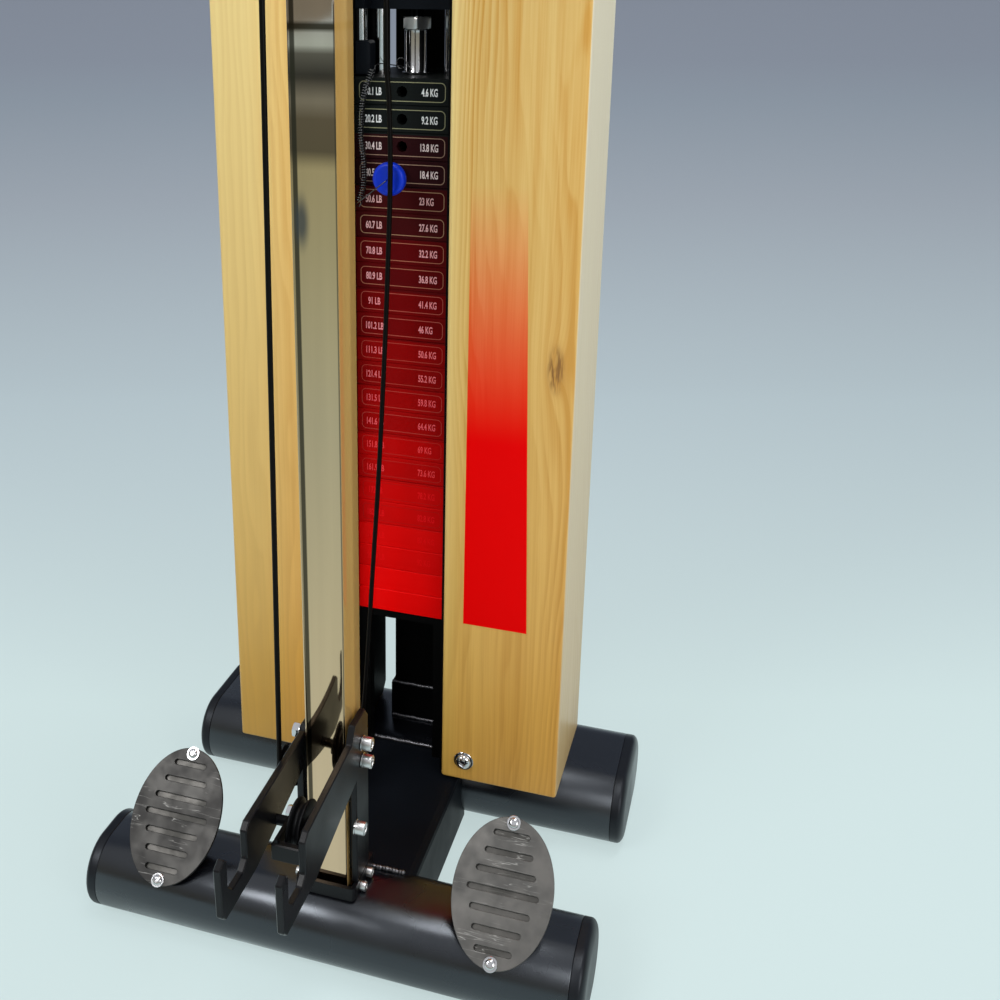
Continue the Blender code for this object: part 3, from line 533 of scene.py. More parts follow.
def wood(name, top, bottom, dark, shift, contrast=0.6, sapwood=(-0.19, -0.13, 0.5), band=None, knot=None):
    """Oiled softwood: grain that deepens towards the floor and pales to one side, with a band or knot if asked;
    painted light lifts a strip beside the column, or the side face when there is a band.
    """
    material, shader, coords = new_material(name)
    x, y, z = axes(coords)
    falls = span(z, 0.15, 1.15)

    def toned(low_tone, high_tone):
        return mix(falls, srgb(low_tone), srgb(high_tone))

    vector = coords
    if knot:
        reach = oval(x, z, *knot, *KNOT_SIZE)
        pull = maths("DIVIDE", 0.35, plus(reach, 0.6))
        moved = {"X": plus(x, times(pull, 0.05)), "Y": y, "Z": z}
        vector = after("ShaderNodeCombineXYZ", moved)[0]
    deep = mix(falls, srgb(dark, 0.86), srgb(dark))
    colour, height = placed_group("grain", {
        "Vector": vector, "Pale": toned(bottom, top), "Dark": deep, "Shift": shift, "Contrast": contrast})
    start, end, share = sapwood
    edge = span(x, start, end, share, 0.0, "SMOOTHSTEP")
    colour = mix(edge, colour, toned("C9A24C", "EAD796"))
    if not band:
        # Painted light: without a band, a strip at this X is lightened, more towards the top, to lift the shadow
        # that the column casts on the left post.
        painted_light_strip = times(span(x, -0.105, -0.085), span(z, 0.55, 1.05))
        colour = mix(painted_light_strip, colour, srgb("FFE28E"))
    if knot:
        front = span(y, 0.002, 0.006, 1.0, 0.0)
        torn = noise(scaled(coords, (260.0, 60.0, 34.0)), 2.0)
        body = span(reach, 0.15, 1.1, 0.6, 0.0, "SMOOTHSTEP")
        spot = times(span(reach, 0.3, 0.8, 1.0, 0.0, "SMOOTHSTEP"), span(torn, 0.41, 0.53))
        colour = mix(times(body, front), colour, srgb("A8742C"))
        colour = mix(times(spot, front), colour, srgb("5A3410"))
    gloss, lacquer = 0.4, 0.1
    if band:
        left, right, foot, full, gone = band
        soft = 0.0006
        warm = span(x, 0.085, 0.16, 0.0, 0.28, "SMOOTHSTEP")
        colour = mix(warm, colour, toned("C68632", "D89E48"))
        # Painted light: the right post's side face is painted paler towards the top, the way the light washes it.
        side = times(span(x, *POST_SIDE), 0.85)
        colour = mix(side, colour, toned("C0A678", "EFE7CD"))
        spread = plus(x, times(minus(z, foot), BAND_SLANT))
        mask = times(span(x, left, left + soft), span(spread, right - soft, right, 1.0, 0.0))
        thin = minus(1.0, maths("POWER", span(z, full, gone), 1.5))
        mask = times(mask, times(span(z, foot, foot + soft), thin))
        mask = times(mask, span(y, 0.0003, 0.0012, 1.0, 0.0))
        colour = mix(mask, colour, srgb("E60001"))
        gloss, lacquer = span(mask, 0.0, 1.0, 0.4, 0.04), span(mask, 0.0, 1.0, 0.1, 0.0)
    feed(shader, {"Base Color": colour, "Roughness": span(height, 0.2, 1.2, 0.34, 0.5),
                  "Specular IOR Level": gloss, "Coat Weight": lacquer, "Coat Roughness": 0.25,
                  "Normal": bumped(height, 0.15, 0.0003)})
    return material


def stack_paint(name, tones, rough=0.42):
    """Paint whose colour steps down the stack at every second plate, through the tones from the top plate's on."""
    material, shader, coords = new_material(name)
    falls = span(axes(coords)[2], STACK_TOP - PLATE_PITCH * PLATE_COUNT, STACK_TOP, 1.0, 0.0)
    tones = tones.split()
    stops = [(k / len(tones) + 0.0004, srgb(tone)) for k, tone in enumerate(tones)]
    height, cloud = speckled(coords, 700.0)
    shade = span(cloud, 0.3, 0.7, 0.0, 0.12)
    feed(shader, {
        "Base Color": mix(shade, ramp(falls, stops, "CONSTANT"), (0.0, 0.0, 0.0, 1.0)),
        "Roughness": span(cloud, 0.3, 0.7, rough - 0.08, rough + 0.08),
        "Specular IOR Level": 0.05, "Normal": bumped(height, 0.15, 0.0004),
    })
    return material


def finishes():
    """Every finish by its plain name."""
    blue = (0.84, 0.91, 1.0, 1.0)
    return {
        "coat": coated("black powder coat", "0E0E11", 0.34, shine=0.22),
        "tube": coated("black tube coat", "08090E", 0.25, shine=0.85, tint=blue),
        "cap": coated("moulded end cap", "0A0B10", 0.38, 1400.0, shine=0.35, tint=blue),
        "deep": coated("shaded black coat", "060606", 0.5, shine=0.05),
        "spine": coated("black spine coat", "101318", 0.4, shine=0.05),
        "panel": coated("matt black sheet", "070708", 0.5, shine=0.05),
        "plastic": coated("moulded black plastic", "131418", 0.40, 1400.0, shine=0.35),
        "wheel": coated("black pulley plastic", "0C0C0E", 0.45, 1400.0, shine=0.12),
        "cable": coated("nylon cable jacket", "080605", 0.38, 2500.0, 0.05, shine=0.08),
        "cord": coated("coated spring cord", "161618", 0.18, 2500.0, 0.05, 0.04, 1.0),
        "blue": coated("blue anodised knob", "0832C4", 0.3, 1500.0, 0.03, shine=0.2),
        "mirror": mirror("mirror polished steel"),
        "chrome": metal("bright chrome", "D2D2D4", 0.10),
        "stem": metal("selector stem steel", "D2D2D4", 0.10, black_above=1.1083),
        "screw": metal("screw steel", "DADADA", 0.34),
        "weld": metal("weld bead", "7C7C80", 0.42, 0.1),
        "foot left": foot_steel("ground foot steel in shade", "363533", "2E2D2C"),
        "foot right": foot_steel("ground foot steel", "5A5855", "4C4B49"),
        "foot back": foot_steel("steel behind the slots", "4E4C49", "403F3C"),
        "left wood": wood("left post wood", "E8C67C", "D9A043", "CC9747", 0.0),
        "right wood": wood(
            "right post wood", "E0C27C", "DCAA50", "C8923C", 5.3, 0.95, (0.070, 0.100, 0.62), BAND, KNOT),
        "board wood": wood("top board wood", "E0C27C", "DCAE5A", "C99846", 8.1),
        "plates": stack_paint(
            "stack paint", "131615 260A0D 3C0809 540305 6B0102 850101 980101 B20101 C90101 DF0202 F20202"),
        "gold": stack_paint(
            "label outline", "8E8C6C 977A66 9C765A A2604A A84C40 A83A30 AE3A32 B02420 B81210 DF0202 F20202", 0.35),
        "white": stack_paint(
            "label figures", "DEDEDC DCC8C4 DAA8A6 E09A9C E4868A E86C70 E8545A E63C40 E01218 E80A0E F20404", 0.45),
    }


FINISH = {}


def finish(name):
    if not FINISH:
        FINISH.update(finishes())
    return FINISH[name]


def repaint(name, *nodes):
    for each in nodes:
        mesh = NODES[each].data
        mesh.materials.clear()
        mesh.materials.append(finish(name))


# Fasteners

def hexagon(angle, across):
    """How far a hexagon of this width across its flats reaches at each angle."""
    return across / 2 / np.cos((angle + np.pi / 6) % (np.pi / 3) - np.pi / 6)


def socket_screw(name, place, axis, head, tall, domed=False, socket=0.45, material="chrome"):
    """A socket screw: a turned head, domed for a button head, with a hexagonal recess cut by its own walls."""
    ease = 0.08 * head
    if domed:
        profile = [(0.0, head)] + [(0.15 * tall + 0.85 * tall * math.sin(a), head * math.cos(a))
                                   for a in np.linspace(0, math.radians(62), 9)]
    else:
        profile = [(0.0, head - ease * 0.3), (ease * 0.4, head), (tall - ease * 1.4, head),
                   (tall - ease * 0.5, head - ease * 0.45), (tall, head - ease * 1.5)]
    top = profile[-1][0]
    angle = around(48)
    rings = [ring(r, angle, h) for h, r in profile]
    for height, scale in ((top, 1.04), (top - 0.0006, 1.0), (top - 0.45 * tall, 1.0)):
        rings.append(ring(scale * hexagon(angle, 2 * socket * head), angle, height))
    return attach(lofted(name, stood(rings, place, axis), finish(material), 30), "frame")


def washer(name, place, axis, outer, inner, thick):
    profile = [(0, inner), (0, outer - 0.0004), (0.0004, outer), (thick - 0.0004, outer), (thick, outer - 0.0004),
               (thick, inner)]
    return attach(turned(name, profile, place, axis, 40, finish("chrome"), 30), "frame")


def hexagon_nut(name, place, axis, across, tall, body="frame", material="chrome", turn=0.0):
    """A hexagon nut with its corners eased by a cone."""
    angle = around(48)
    rings = []
    for height, most in ((0, 1.06), (0.12, 1.2), (0.88, 1.2), (1.0, 1.06), (1.0, 0.6), (0.8, 0.55)):
        reach = np.minimum(hexagon(angle, across), across / 2 * most)
        rings.append(ring(reach, angle + math.radians(turn), height * tall))
    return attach(lofted(name, stood(rings, place, axis), finish(material), 30), body)


def weld(name, path, radius):
    """A weld bead: a tube whose radius swells in overlapping ripples along its run."""
    path = np.asarray(path, float)
    at, fine = evenly(path, max(int(length_of(path) / 0.0011), 4))
    swell = radius * (0.8 + 0.28 * np.sin(np.pi * ((at / 0.0042) % 1.0)) + 0.08 * np.sin(at * 613.0))
    fine[:, 2] += 0.0003 * np.sin(at * 241.0)
    swell[0] = swell[-1] = radius * 0.4
    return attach(tube(name, fine, swell, 10, finish("weld")), "frame")


# Settings

def distance(name, description, millimetres):
    return bpy.props.FloatProperty(
        name=name, description=description, default=millimetres * MM, subtype="DISTANCE", unit="LENGTH")


class StationSizes(bpy.types.PropertyGroup):
    """Sizes that the small pieces are made to."""

    screw_head: distance("Screw head radius", "Radius of the fork's socket heads", 8)
    cable_radius: distance("Cable radius", "Radius of the coated cables", 3)
    label_height: distance("Label height", "Height of the outline round a plate's figures", 23.3)
    label_half_width: distance("Label half width", "Half the width of the outline round a plate's figures", 54.5)
    figure_height: distance("Figure height", "Height of the printed weights", 9.2)
    wire_radius: distance("Lanyard wire radius", "Radius of the curly cord's strand", 0.7)


class StationStage(bpy.types.PropertyGroup):
    """The camera's lens."""

    focal_length: bpy.props.FloatProperty(
        name="Focal length", description="Camera lens in millimetres", default=42.99, subtype="NONE")
    shift_x: bpy.props.FloatProperty(name="Shift across", description="Lens shift across", default=0.1040)
    shift_y: bpy.props.FloatProperty(name="Shift up", description="Lens shift up", default=-0.1553)


def sizes():
    return bpy.context.scene.station_sizes


# Operators

class StationTimber(bpy.types.Operator):
    """Gives the posts and the top board their wood, with the painted band on the right post"""

    bl_idname = "station.timber"
    bl_label = "Timber"

    def execute(self, context):
        repaint("left wood", "post_left")
        repaint("right wood", "post_right")
        repaint("board wood", "top_board")
        return {"FINISHED"}


class StationSteelwork(bpy.types.Operator):
    """Finishes the solids that show as they are: frame, yoke, plates, panels, carriage, pin and hook"""

    bl_idname = "station.steelwork"
    bl_label = "Steelwork"

    def execute(self, context):
        repaint("spine", "base_spine", "lifting_yoke")
        repaint("foot back", "foot_bracket_left", "foot_bracket_right")
        repaint("coat", "column_socket", "fork_plate_left", "fork_plate_right", "low_pulley_axle",
                "rear_guide_bracket", "crown_bracket", "pulley_bracket")
        repaint("deep", "stack_pedestal", "stack_base_plate")
        repaint("panel", "inner_panel_left", "inner_panel_right")
        repaint("plastic", "carriage", "lock_knob")
        repaint("stem", "selector_stem")
        repaint("chrome", "selector_pin", "snap_hook")
        repaint("plates", "weight_plate_1", "weight_plate_2", "weight_plate_3", "weight_plate_4",
                "resting_plates_upper", "resting_plates_middle", "resting_plates_lower")
        repaint("cable", "handle_cable")
        return {"FINISHED"}


# Printed weights in pounds, which follow no one rule of rounding
POUNDS = ("10.1", "20.2", "30.4", "40.5", "50.6", "60.7", "70.8", "80.9", "91", "101.2", "111.3", "121.4", "131.5",
          "141.6", "151.8", "161.9", "172", "182.1", "192.2", "202.4", "212.5", "222.6")
CAPITAL_SHARE = 0.72
FIGURE_SQUEEZE = 0.55
LABEL_LINE = 0.9 * MM
LABEL_CORNER = 6 * MM


def figures(text, place, height, align="CENTER"):
    """Narrow printed figures as a thin mesh that faces the front, its middle or its left end at the place."""
    curve = bpy.data.curves.new("figures", "FONT")
    curve.body = text
    curve.size = height / CAPITAL_SHARE
    curve.align_x = align
    curve.extrude = 0.00006
    curve.offset = height * 0.03
    curve.resolution_u = 3
    stand = Matrix.Rotation(math.radians(90), 4, "X")
    squeezed = Matrix.Diagonal((FIGURE_SQUEEZE, 1.0, 1.0, 1.0))
    drop = Matrix.Translation((0, -height / 2, 0))
    made = meshed(curve, Matrix.Translation(place) @ stand @ squeezed @ drop)
    made.data.materials.append(finish("white"))
    return made


def plate_middle(number):
    return STACK_TOP - PLATE_PITCH * (number - 1) - PLATE_THICKNESS / 2


class StationLabels(bpy.types.Operator):
    """Prints a thin outline and the weights on the front of each plate"""

    bl_idname = "station.labels"
    bl_label = "Plate labels"

    def execute(self, context):
        half_width, half_height, tall = sizes().label_half_width, sizes().label_height / 2, sizes().figure_height
        outline = rounded_rectangle(half_width, half_height, LABEL_CORNER, 7)
        inner = rounded_rectangle(half_width - LABEL_LINE, half_height - LABEL_LINE, LABEL_CORNER - LABEL_LINE, 7)
        back, front, ink = STACK_FRONT + 0.0001, STACK_FRONT - 0.00012, STACK_FRONT - 0.00007
        faces = grid_faces(4, len(outline), wrap_rows=True)
        for first, last, body, word in ((1, LIFTED_PLATES, "stack", "lifted"),
                                        (LIFTED_PLATES + 1, PLATE_COUNT, "frame", "resting")):
            lines, prints = [], []
            for number in range(first, last + 1):
                z = plate_middle(number)
                rings = [flat(shape, (0.0, z), 1, y)
                         for shape, y in ((outline, back), (outline, front), (inner, front), (inner, back))]
                lines.append(outward(shell("outline", np.vstack(rings), faces, finish("gold"), smooth=False)))
                kilos = ("%.1f" % (PLATE_KILOS * number)).rstrip("0").rstrip(".")
                prints.append(figures(POUNDS[number - 1] + " LB", (-0.0365, ink, z), tall))
                prints.append(figures(kilos + " KG", (0.0247 if number < 3 else 0.0224, ink, z), tall, "LEFT"))
            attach(joined("label_outlines_" + word, lines), body)
            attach(joined("label_figures_" + word, prints), body)
        return {"FINISHED"}


def foot_frame(sign):
    """A foot plate's middle, the way up its face and the way out of it."""
    lean = math.radians(FOOT_LEAN)
    up = Vector((0, math.sin(lean), math.cos(lean)))
    out = Vector((0, -math.cos(lean), math.sin(lean)))
    return Vector((sign * FOOT_CENTRE[0], FOOT_CENTRE[1], FOOT_CENTRE[2])), up, out


class StationFasteners(bpy.types.Operator):
    """Fits the screws of the fork, the column's foot, the posts and the foot plates"""

    bl_idname = "station.fasteners"
    bl_label = "Fasteners"

    def execute(self, context):
        right, left, front = (1, 0, 0), (-1, 0, 0), (0, -1, 0)
        for k, (y, z) in enumerate(((-0.226, 0.302), (-0.226, 0.278), (-0.252, 0.204))):
            washer("fork_washer_%d" % k, (FORK_SIDE + 0.0002, y, z), right, 0.0092, 0.0055, 0.0014)
            socket_screw("fork_screw_%d" % k, (FORK_SIDE + 0.0016, y, z), right, sizes().screw_head, 0.011,
                         material="screw")
            washer("fork_washer_left_%d" % k, (-FORK_SIDE - 0.0002, y, z), left, 0.0095, 0.0055, 0.0016)
            hexagon_nut("fork_nut_%d" % k, (-FORK_SIDE - 0.0018, y, z), left, 0.016, 0.008)
        side = high("column_socket").x + 0.0002
        for sign, word in ((-1, "left"), (1, "right")):
            for k, (y, z) in enumerate(((-0.213, 0.108), (-0.236, 0.1065))):
                socket_screw("socket_screw_%d_%d" % (k, sign + 1), (sign * side, y, z), (sign, 0, 0), 0.0058, 0.007,
                             material="screw")
            x, z = sign * 0.103, 0.132
            washer("post_washer_%d" % (sign + 1), (x, POST_FRONT - 0.0001, z), front, 0.0135, 0.006, 0.0018)
            socket_screw("post_screw_%d" % (sign + 1), (x, POST_FRONT - 0.0019, z), front, 0.0105, 0.0075,
                         domed=True, socket=0.42)
            centre, up, out = foot_frame(sign)
            for k, at in enumerate((-0.0765, 0.0765)):
                place = centre + up * at + out * 0.0002
                washer("foot_washer_%s_%d" % (word, k), place, out, 0.0085, 0.0035, 0.0011)
                socket_screw("foot_screw_%s_%d" % (word, k), place + out * 0.0012, out, 0.0062, 0.0034,
                             domed=True, socket=0.4)
        return {"FINISHED"}


class StationWelds(bpy.types.Operator):
    """Lays the weld beads of the base and of the stack's pedestal"""

    bl_idname = "station.welds"
    bl_label = "Welds"

    def execute(self, context):
        for name, half, count, y, z, radius in (
            ("weld_spine_front", 0.080, 60, -0.1915, 0.0985, 0.003),
            ("weld_spine_rear", 0.080, 60, 0.0595, 0.0985, 0.003),
            ("weld_pedestal_foot", 0.038, 30, 0.1135, 0.1020, 0.0024),
            ("weld_pedestal_step", 0.038, 30, 0.1165, 0.1565, 0.0024),
        ):
            x = np.linspace(-half, half, count)
            weld(name, np.stack([x, np.full(count, y), np.full(count, z)], 1), radius)
        return {"FINISHED"}


# Pulleys: the middle's Y and Z and the cable's radius round it, in millimetres

CROWN_FRONT = (-228.0, 2045.0, 40.0)
CROWN_REAR = (101.0, 2045.0, 40.0)
CROWN_RETURN = (22.5, 1985.0, 38.5)
FLOATING = (101.0, 1195.0, 40.0)
CARRIAGE_PULLEY = (-304.0, 1450.0, 36.0)
LOW_PULLEY = (-322.0, 252.0, 26.5)
REAR_GUIDE = (-49.0, 150.0, 33.0)
FRONT_GUIDE = (-261.0, 277.0, 22.0)
RETURN_X = -42.6
GROOVE_RADIUS = 3.1
BORE_RADIUS = 6.3


def wrap(pulley, start, end, steps, x=0.0):
    """The cable's middle round a pulley in a plane of constant X, from one angle to another in degrees."""
    y, z, radius = pulley
    angle = np.radians(np.linspace(start, end, steps))
    return np.stack([np.full(steps, x), y + radius * np.cos(angle), z + radius * np.sin(angle)], 1)


def tangent(first, second):
    """Where a cable leaves one pulley and meets the next, turning clockwise on both."""
    c1, c2 = np.array(first[:2]), np.array(second[:2])
    apart = c2 - c1
    far = np.linalg.norm(apart)
    u = apart / far
    v = np.array([u[1], -u[0]])
    cosine = (second[2] - first[2]) / far
    normal = cosine * u + math.sqrt(1 - cosine * cosine) * v
    return c1 - first[2] * normal, c2 - second[2] * normal


def turn_of(point, pulley):
    return math.degrees(math.atan2(point[1] - pulley[1], point[0] - pulley[0]))


def return_route():
    """From the return pulley down behind the column, round both guide pulleys."""
    fall = catmull([(0, -16, 1960), (-0.3, -16, 1500), (-0.5, -16, 1100), (2.4, -16, 1019), (3.8, -16, 934),
                    (0.4, -16, 819), (-4.5, -16, 701), (-12.3, -16, 550), (-22, -16, 400),
                    (-34, -16, 220), (RETURN_X + 1, -16, 160)], 12)
    leave, meet = tangent(REAR_GUIDE, FRONT_GUIDE)
    return np.vstack([
        wrap(CROWN_RETURN, 0, 180, 40), fall,
        wrap(REAR_GUIDE, 0, turn_of(leave, REAR_GUIDE), 30, RETURN_X + 1),
        wrap(FRONT_GUIDE, turn_of(meet, FRONT_GUIDE), -180, 20, RETURN_X),
    ])


def capsule(half_width, half_height):
    return rounded_rectangle(half_width, half_height, half_height - 1e-5, 16)


class StationTubing(bpy.types.Operator):
    """Draws the foot tubes as flattened rounds with domed end caps"""

    bl_idname = "station.tubing"
    bl_label = "Tubing"

    def execute(self, context):
        for word in ("front", "rear"):
            cad = word + "_foot_tube"
            end, centre = high(cad).x, middle(cad)[1:]
            half_width, half_height = ((high(cad) - low(cad)) / 2)[1:]
            rings = [flat(capsule(half_width - inset, half_height - inset), centre, 0, x)
                     for x, inset in ((-end, 0.0004), (-end + 0.0006, 0.0), (end - 0.0006, 0.0), (end, 0.0004))]
            stand_in(lofted(cad + "_round", rings, finish("tube")), cad)
            for sign, side in ((-1, "left"), (1, "right")):
                self.cap(word + "_cap_" + side, sign, end, centre, half_width, half_height)
        return {"FINISHED"}

    def cap(self, cad, sign, end, centre, half_width, half_height):
        """The cap's outline shrinks with the cosine of the dome's angle while its height follows the sine."""
        start, rise, shrink = 0.009, 0.009, 0.016
        steps = [(0.0003, 0.0006), (0.0009, 0.0)] + [
            (start + rise * math.sin(a), shrink * (1 - math.cos(a))) for a in np.radians(np.linspace(0, 88, 12))]
        rings = [flat(capsule(half_width - inset, half_height - inset), centre, 0, sign * (end + at))
                 for at, inset in steps]
        stand_in(lofted(cad + "_dome", rings, finish("cap")), cad)


class StationColumn(bpy.types.Operator):
    """Draws the polished column with round corners, the guide rods, the stem's sleeve and head and a side post"""

    bl_idname = "station.column"
    bl_label = "Column and rods"

    def execute(self, context):
        lo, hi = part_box("front_column")
        shape = rounded_rectangle((hi.x - lo.x) / 2, (hi.y - lo.y) / 2, 0.0025, 10)
        rings = [flat(shape, (0.0, (lo.y + hi.y) / 2), 2, z) for z in (lo.z, hi.z)]
        stand_in(lofted("front_column_round", rings, finish("mirror"), 50), "front_column")
        for cad in ("guide_rod_left", "guide_rod_right"):
            lo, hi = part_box(cad)
            rod = tube(cad + "_round", [((lo.x + hi.x) / 2, (lo.y + hi.y) / 2, z) for z in (lo.z, hi.z)],
                       (hi.x - lo.x) / 2, 56, finish("chrome"))
            stand_in(smooth_by_angle(rod, 40), cad)
        lo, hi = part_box("stem_sleeve")
        y, bore, flange, radius = (lo.y + hi.y) / 2, 0.0104, (hi.x - lo.x) / 2, (hi.x - lo.x) / 2 - 0.0025
        profile = [(lo.z, bore), (lo.z, flange - 0.0003), (lo.z + 0.0004, flange), (lo.z + 0.0022, flange),
                   (lo.z + 0.0027, flange - 0.0006), (lo.z + 0.0027, radius + 0.0004), (lo.z + 0.0033, radius),
                   (hi.z - 0.0012, radius), (hi.z, radius - 0.0012), (hi.z, bore)]
        sleeve = turned("stem_sleeve_round", profile, (0, y, 0), (0, 0, 1), 56, finish("chrome"), bored=True)
        stand_in(sleeve, "stem_sleeve", "stack")
        post = tube("side_post_sleeve", [(-0.057, 0.057, z) for z in (1.0822, 1.0825, 1.1185, 1.1188)],
                    (0.0069, 0.0072, 0.0072, 0.0069), 40, finish("chrome"))
        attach(smooth_by_angle(post, 40), "stack")
        hexagon_nut("stem_head", (0, y, 1.0943), (0, 0, 1), 0.0336, 0.0138, "stack", "screw", 17)
        return {"FINISHED"}


class StationFootPlates(bpy.types.Operator):
    """Draws the oval foot plates with their rows of slots and rounded edges"""

    bl_idname = "station.foot_plates"
    bl_label = "Foot plates"

    def execute(self, context):
        for sign, side in ((-1, "left"), (1, "right")):
            piece = self.plate("foot_plate_%s_oval" % side, sign)
            stand_in(piece, "foot_plate_" + side)
        return {"FINISHED"}

    def plate(self, name, sign):
        """A filled outline: an ellipse less seven slots, bars with round ends, given thickness and a bevel."""
        curve = bpy.data.curves.new(name, "CURVE")
        curve.dimensions, curve.fill_mode = "2D", "BOTH"
        curve.extrude, curve.bevel_depth, curve.bevel_resolution = 0.0014, 0.0006, 2
        outlines = [np.stack([np.cos(around(96)), np.sin(around(96))], 1) * FOOT_SIZE]
        for row in range(-3, 4):
            half_width = 0.5 * (0.085 - 0.0136 * abs(row)) + 0.0006
            slot = rounded_rectangle(half_width, SLOT_HALF_HEIGHT, SLOT_ROUNDING, 8)
            outlines.append(slot + (0.0, row * SLOT_PITCH))
        for outline in outlines:
            spline = curve.splines.new("POLY")
            spline.points.add(len(outline) - 1)
            spline.points.foreach_set("co", np.insert(outline, (2, 2), (0.0, 1.0), axis=1).ravel())
            spline.use_cyclic_u = True
        centre, up, out = foot_frame(sign)
        stand = Matrix((Vector((1, 0, 0)), up, out)).transposed().to_4x4()
        piece = meshed(curve, Matrix.Translation(centre + out * -0.002) @ stand)
        piece.name = name
        piece.data.materials.append(finish("foot left" if sign < 0 else "foot right"))
        return smooth_by_angle(piece, 50)


class StationPulleys(bpy.types.Operator):
    """Turns the grooved pulleys round their axles"""

    bl_idname = "station.pulleys"
    bl_label = "Pulleys"

    def execute(self, context):
        large = (0.0, 9.0, 3.5, 7.0)
        for cad, pulley, (x, half, rim, edge) in (
            ("crown_front_pulley", CROWN_FRONT, large), ("crown_rear_pulley", CROWN_REAR, large),
            ("crown_return_pulley", CROWN_RETURN, large), ("floating_pulley", FLOATING, large),
            ("carriage_pulley", CARRIAGE_PULLEY, large), ("low_pulley", LOW_PULLEY, (0.0, 8.0, 3.0, 6.2)),
            ("rear_guide_pulley", REAR_GUIDE, (RETURN_X + 1, 7.0, 3.5, 5.5)),
            ("front_guide_pulley", FRONT_GUIDE, (RETURN_X, 4.3, 3.2, 3.6)),
        ):
            y, z, radius = pulley
            outer = radius + rim
            flank = [(-half, BORE_RADIUS), (-half, outer - 0.8), (-half + 0.25, outer - 0.25), (-half + 0.8, outer),
                     (-edge, outer), (-edge + 0.7, outer - 0.25), (-3.3, radius + 0.5)]
            groove = [(-GROOVE_RADIUS * math.cos(a), radius - GROOVE_RADIUS * math.sin(a))
                      for a in np.radians(np.linspace(0, 180, 11))]
            profile = np.array(flank + groove + [(-u, v) for u, v in flank[::-1]]) * MM
            place = (x * MM, y * MM, z * MM)
            piece = turned(cad + "_wheel", profile, place, (1, 0, 0), 64, finish("wheel"), bored=True)
            stand_in(piece, cad, cad)
        return {"FINISHED"}


class StationSelector(bpy.types.Operator):
    """Turns the selector's knob and covers the pin holes that the stack doesn't show"""

    bl_idname = "station.selector"
    bl_label = "Selector"

    def execute(self, context):
        lo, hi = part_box("selector_knob")
        radius, depth, front = (hi.z - lo.z) / 2, 0.0125, (0, -1, 0)
        rise, shrink = 0.0055, 0.0045
        bulge = [(depth - rise + rise * math.sin(a), radius - shrink * (1 - math.cos(a)))
                 for a in np.radians(np.linspace(0, 90, 10))]
        profile = [(0.0, radius - 0.004), (0.0007, radius - 0.0015), (0.003, radius), *bulge,
                   (depth, radius - 0.0062), (depth - 0.0004, radius - 0.0068), (depth - 0.0004, 0.003)]
        place = (-0.002, lo.y + depth, (lo.z + hi.z) / 2)
        knob = turned("selector_knob_turned", profile, place, front, 64, finish("blue"))
        stand_in(knob, "selector_knob", "selector")
        rim = [(0.0, 0.0068), (0.0006, 0.0068), (0.00061, 0.0074), (0.00066, 0.0074)]
        discs = [turned("disc", rim, (0, STACK_FRONT + 0.0006, plate_middle(k)), front, 32, finish("plates"), 30)
                 for k in range(LIFTED_PLATES + 1, PLATE_COUNT + 1)]
        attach(joined("pin_hole_covers", discs), "frame")
        return {"FINISHED"}


class StationCables(bpy.types.Operator):
    """Runs the round cables over the pulleys, each over its own solid"""

    bl_idname = "station.cables"
    bl_label = "Cables"

    def execute(self, context):
        front = CROWN_FRONT[0] - CROWN_FRONT[2]
        far, near = FLOATING[0] + FLOATING[2], FLOATING[0] - FLOATING[2]
        foot = (RETURN_X, FRONT_GUIDE[0] - FRONT_GUIDE[2], FRONT_GUIDE[1])
        runs = {
            "crown_cable": np.vstack([wrap(CROWN_FRONT, 180, 90, 24), wrap(CROWN_REAR, 90, 0, 24)]),
            "yoke_cable": wrap(FLOATING, 0, -180, 40),
            "return_cable": return_route(),
            "stack_cable_rear": np.linspace((0, far, CROWN_REAR[1]), (0, far, FLOATING[1]), 40),
            "stack_cable_front": np.linspace((0, near, FLOATING[1]), (0, near, CROWN_RETURN[1]), 40),
            "carriage_cable": np.linspace((0, front, CROWN_FRONT[1]), (0, front, CARRIAGE_PULLEY[1]), 40),
            "column_cable": np.linspace(foot, (RETURN_X, -257, 1370), 40),
        }
        bends = {"stack_cable_rear": "stack", "stack_cable_front": "stack", "carriage_cable": "carriage",
                 "column_cable": "carriage"}
        for cad, path in runs.items():
            piece = tube(cad + "_jacket", path * MM, sizes().cable_radius, 20, finish("cable"))
            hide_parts(cad)
            if cad in bends:
                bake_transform(piece)
            else:
                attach(piece, "stack" if cad == "yoke_cable" else "frame")
        return {"FINISHED"}


# The lanyard's coil: its pitch and radius in millimetres, and the points in a turn
CURL_PITCH = 3.2
CURL_RADIUS = 3.8
CURL_STEPS = 24


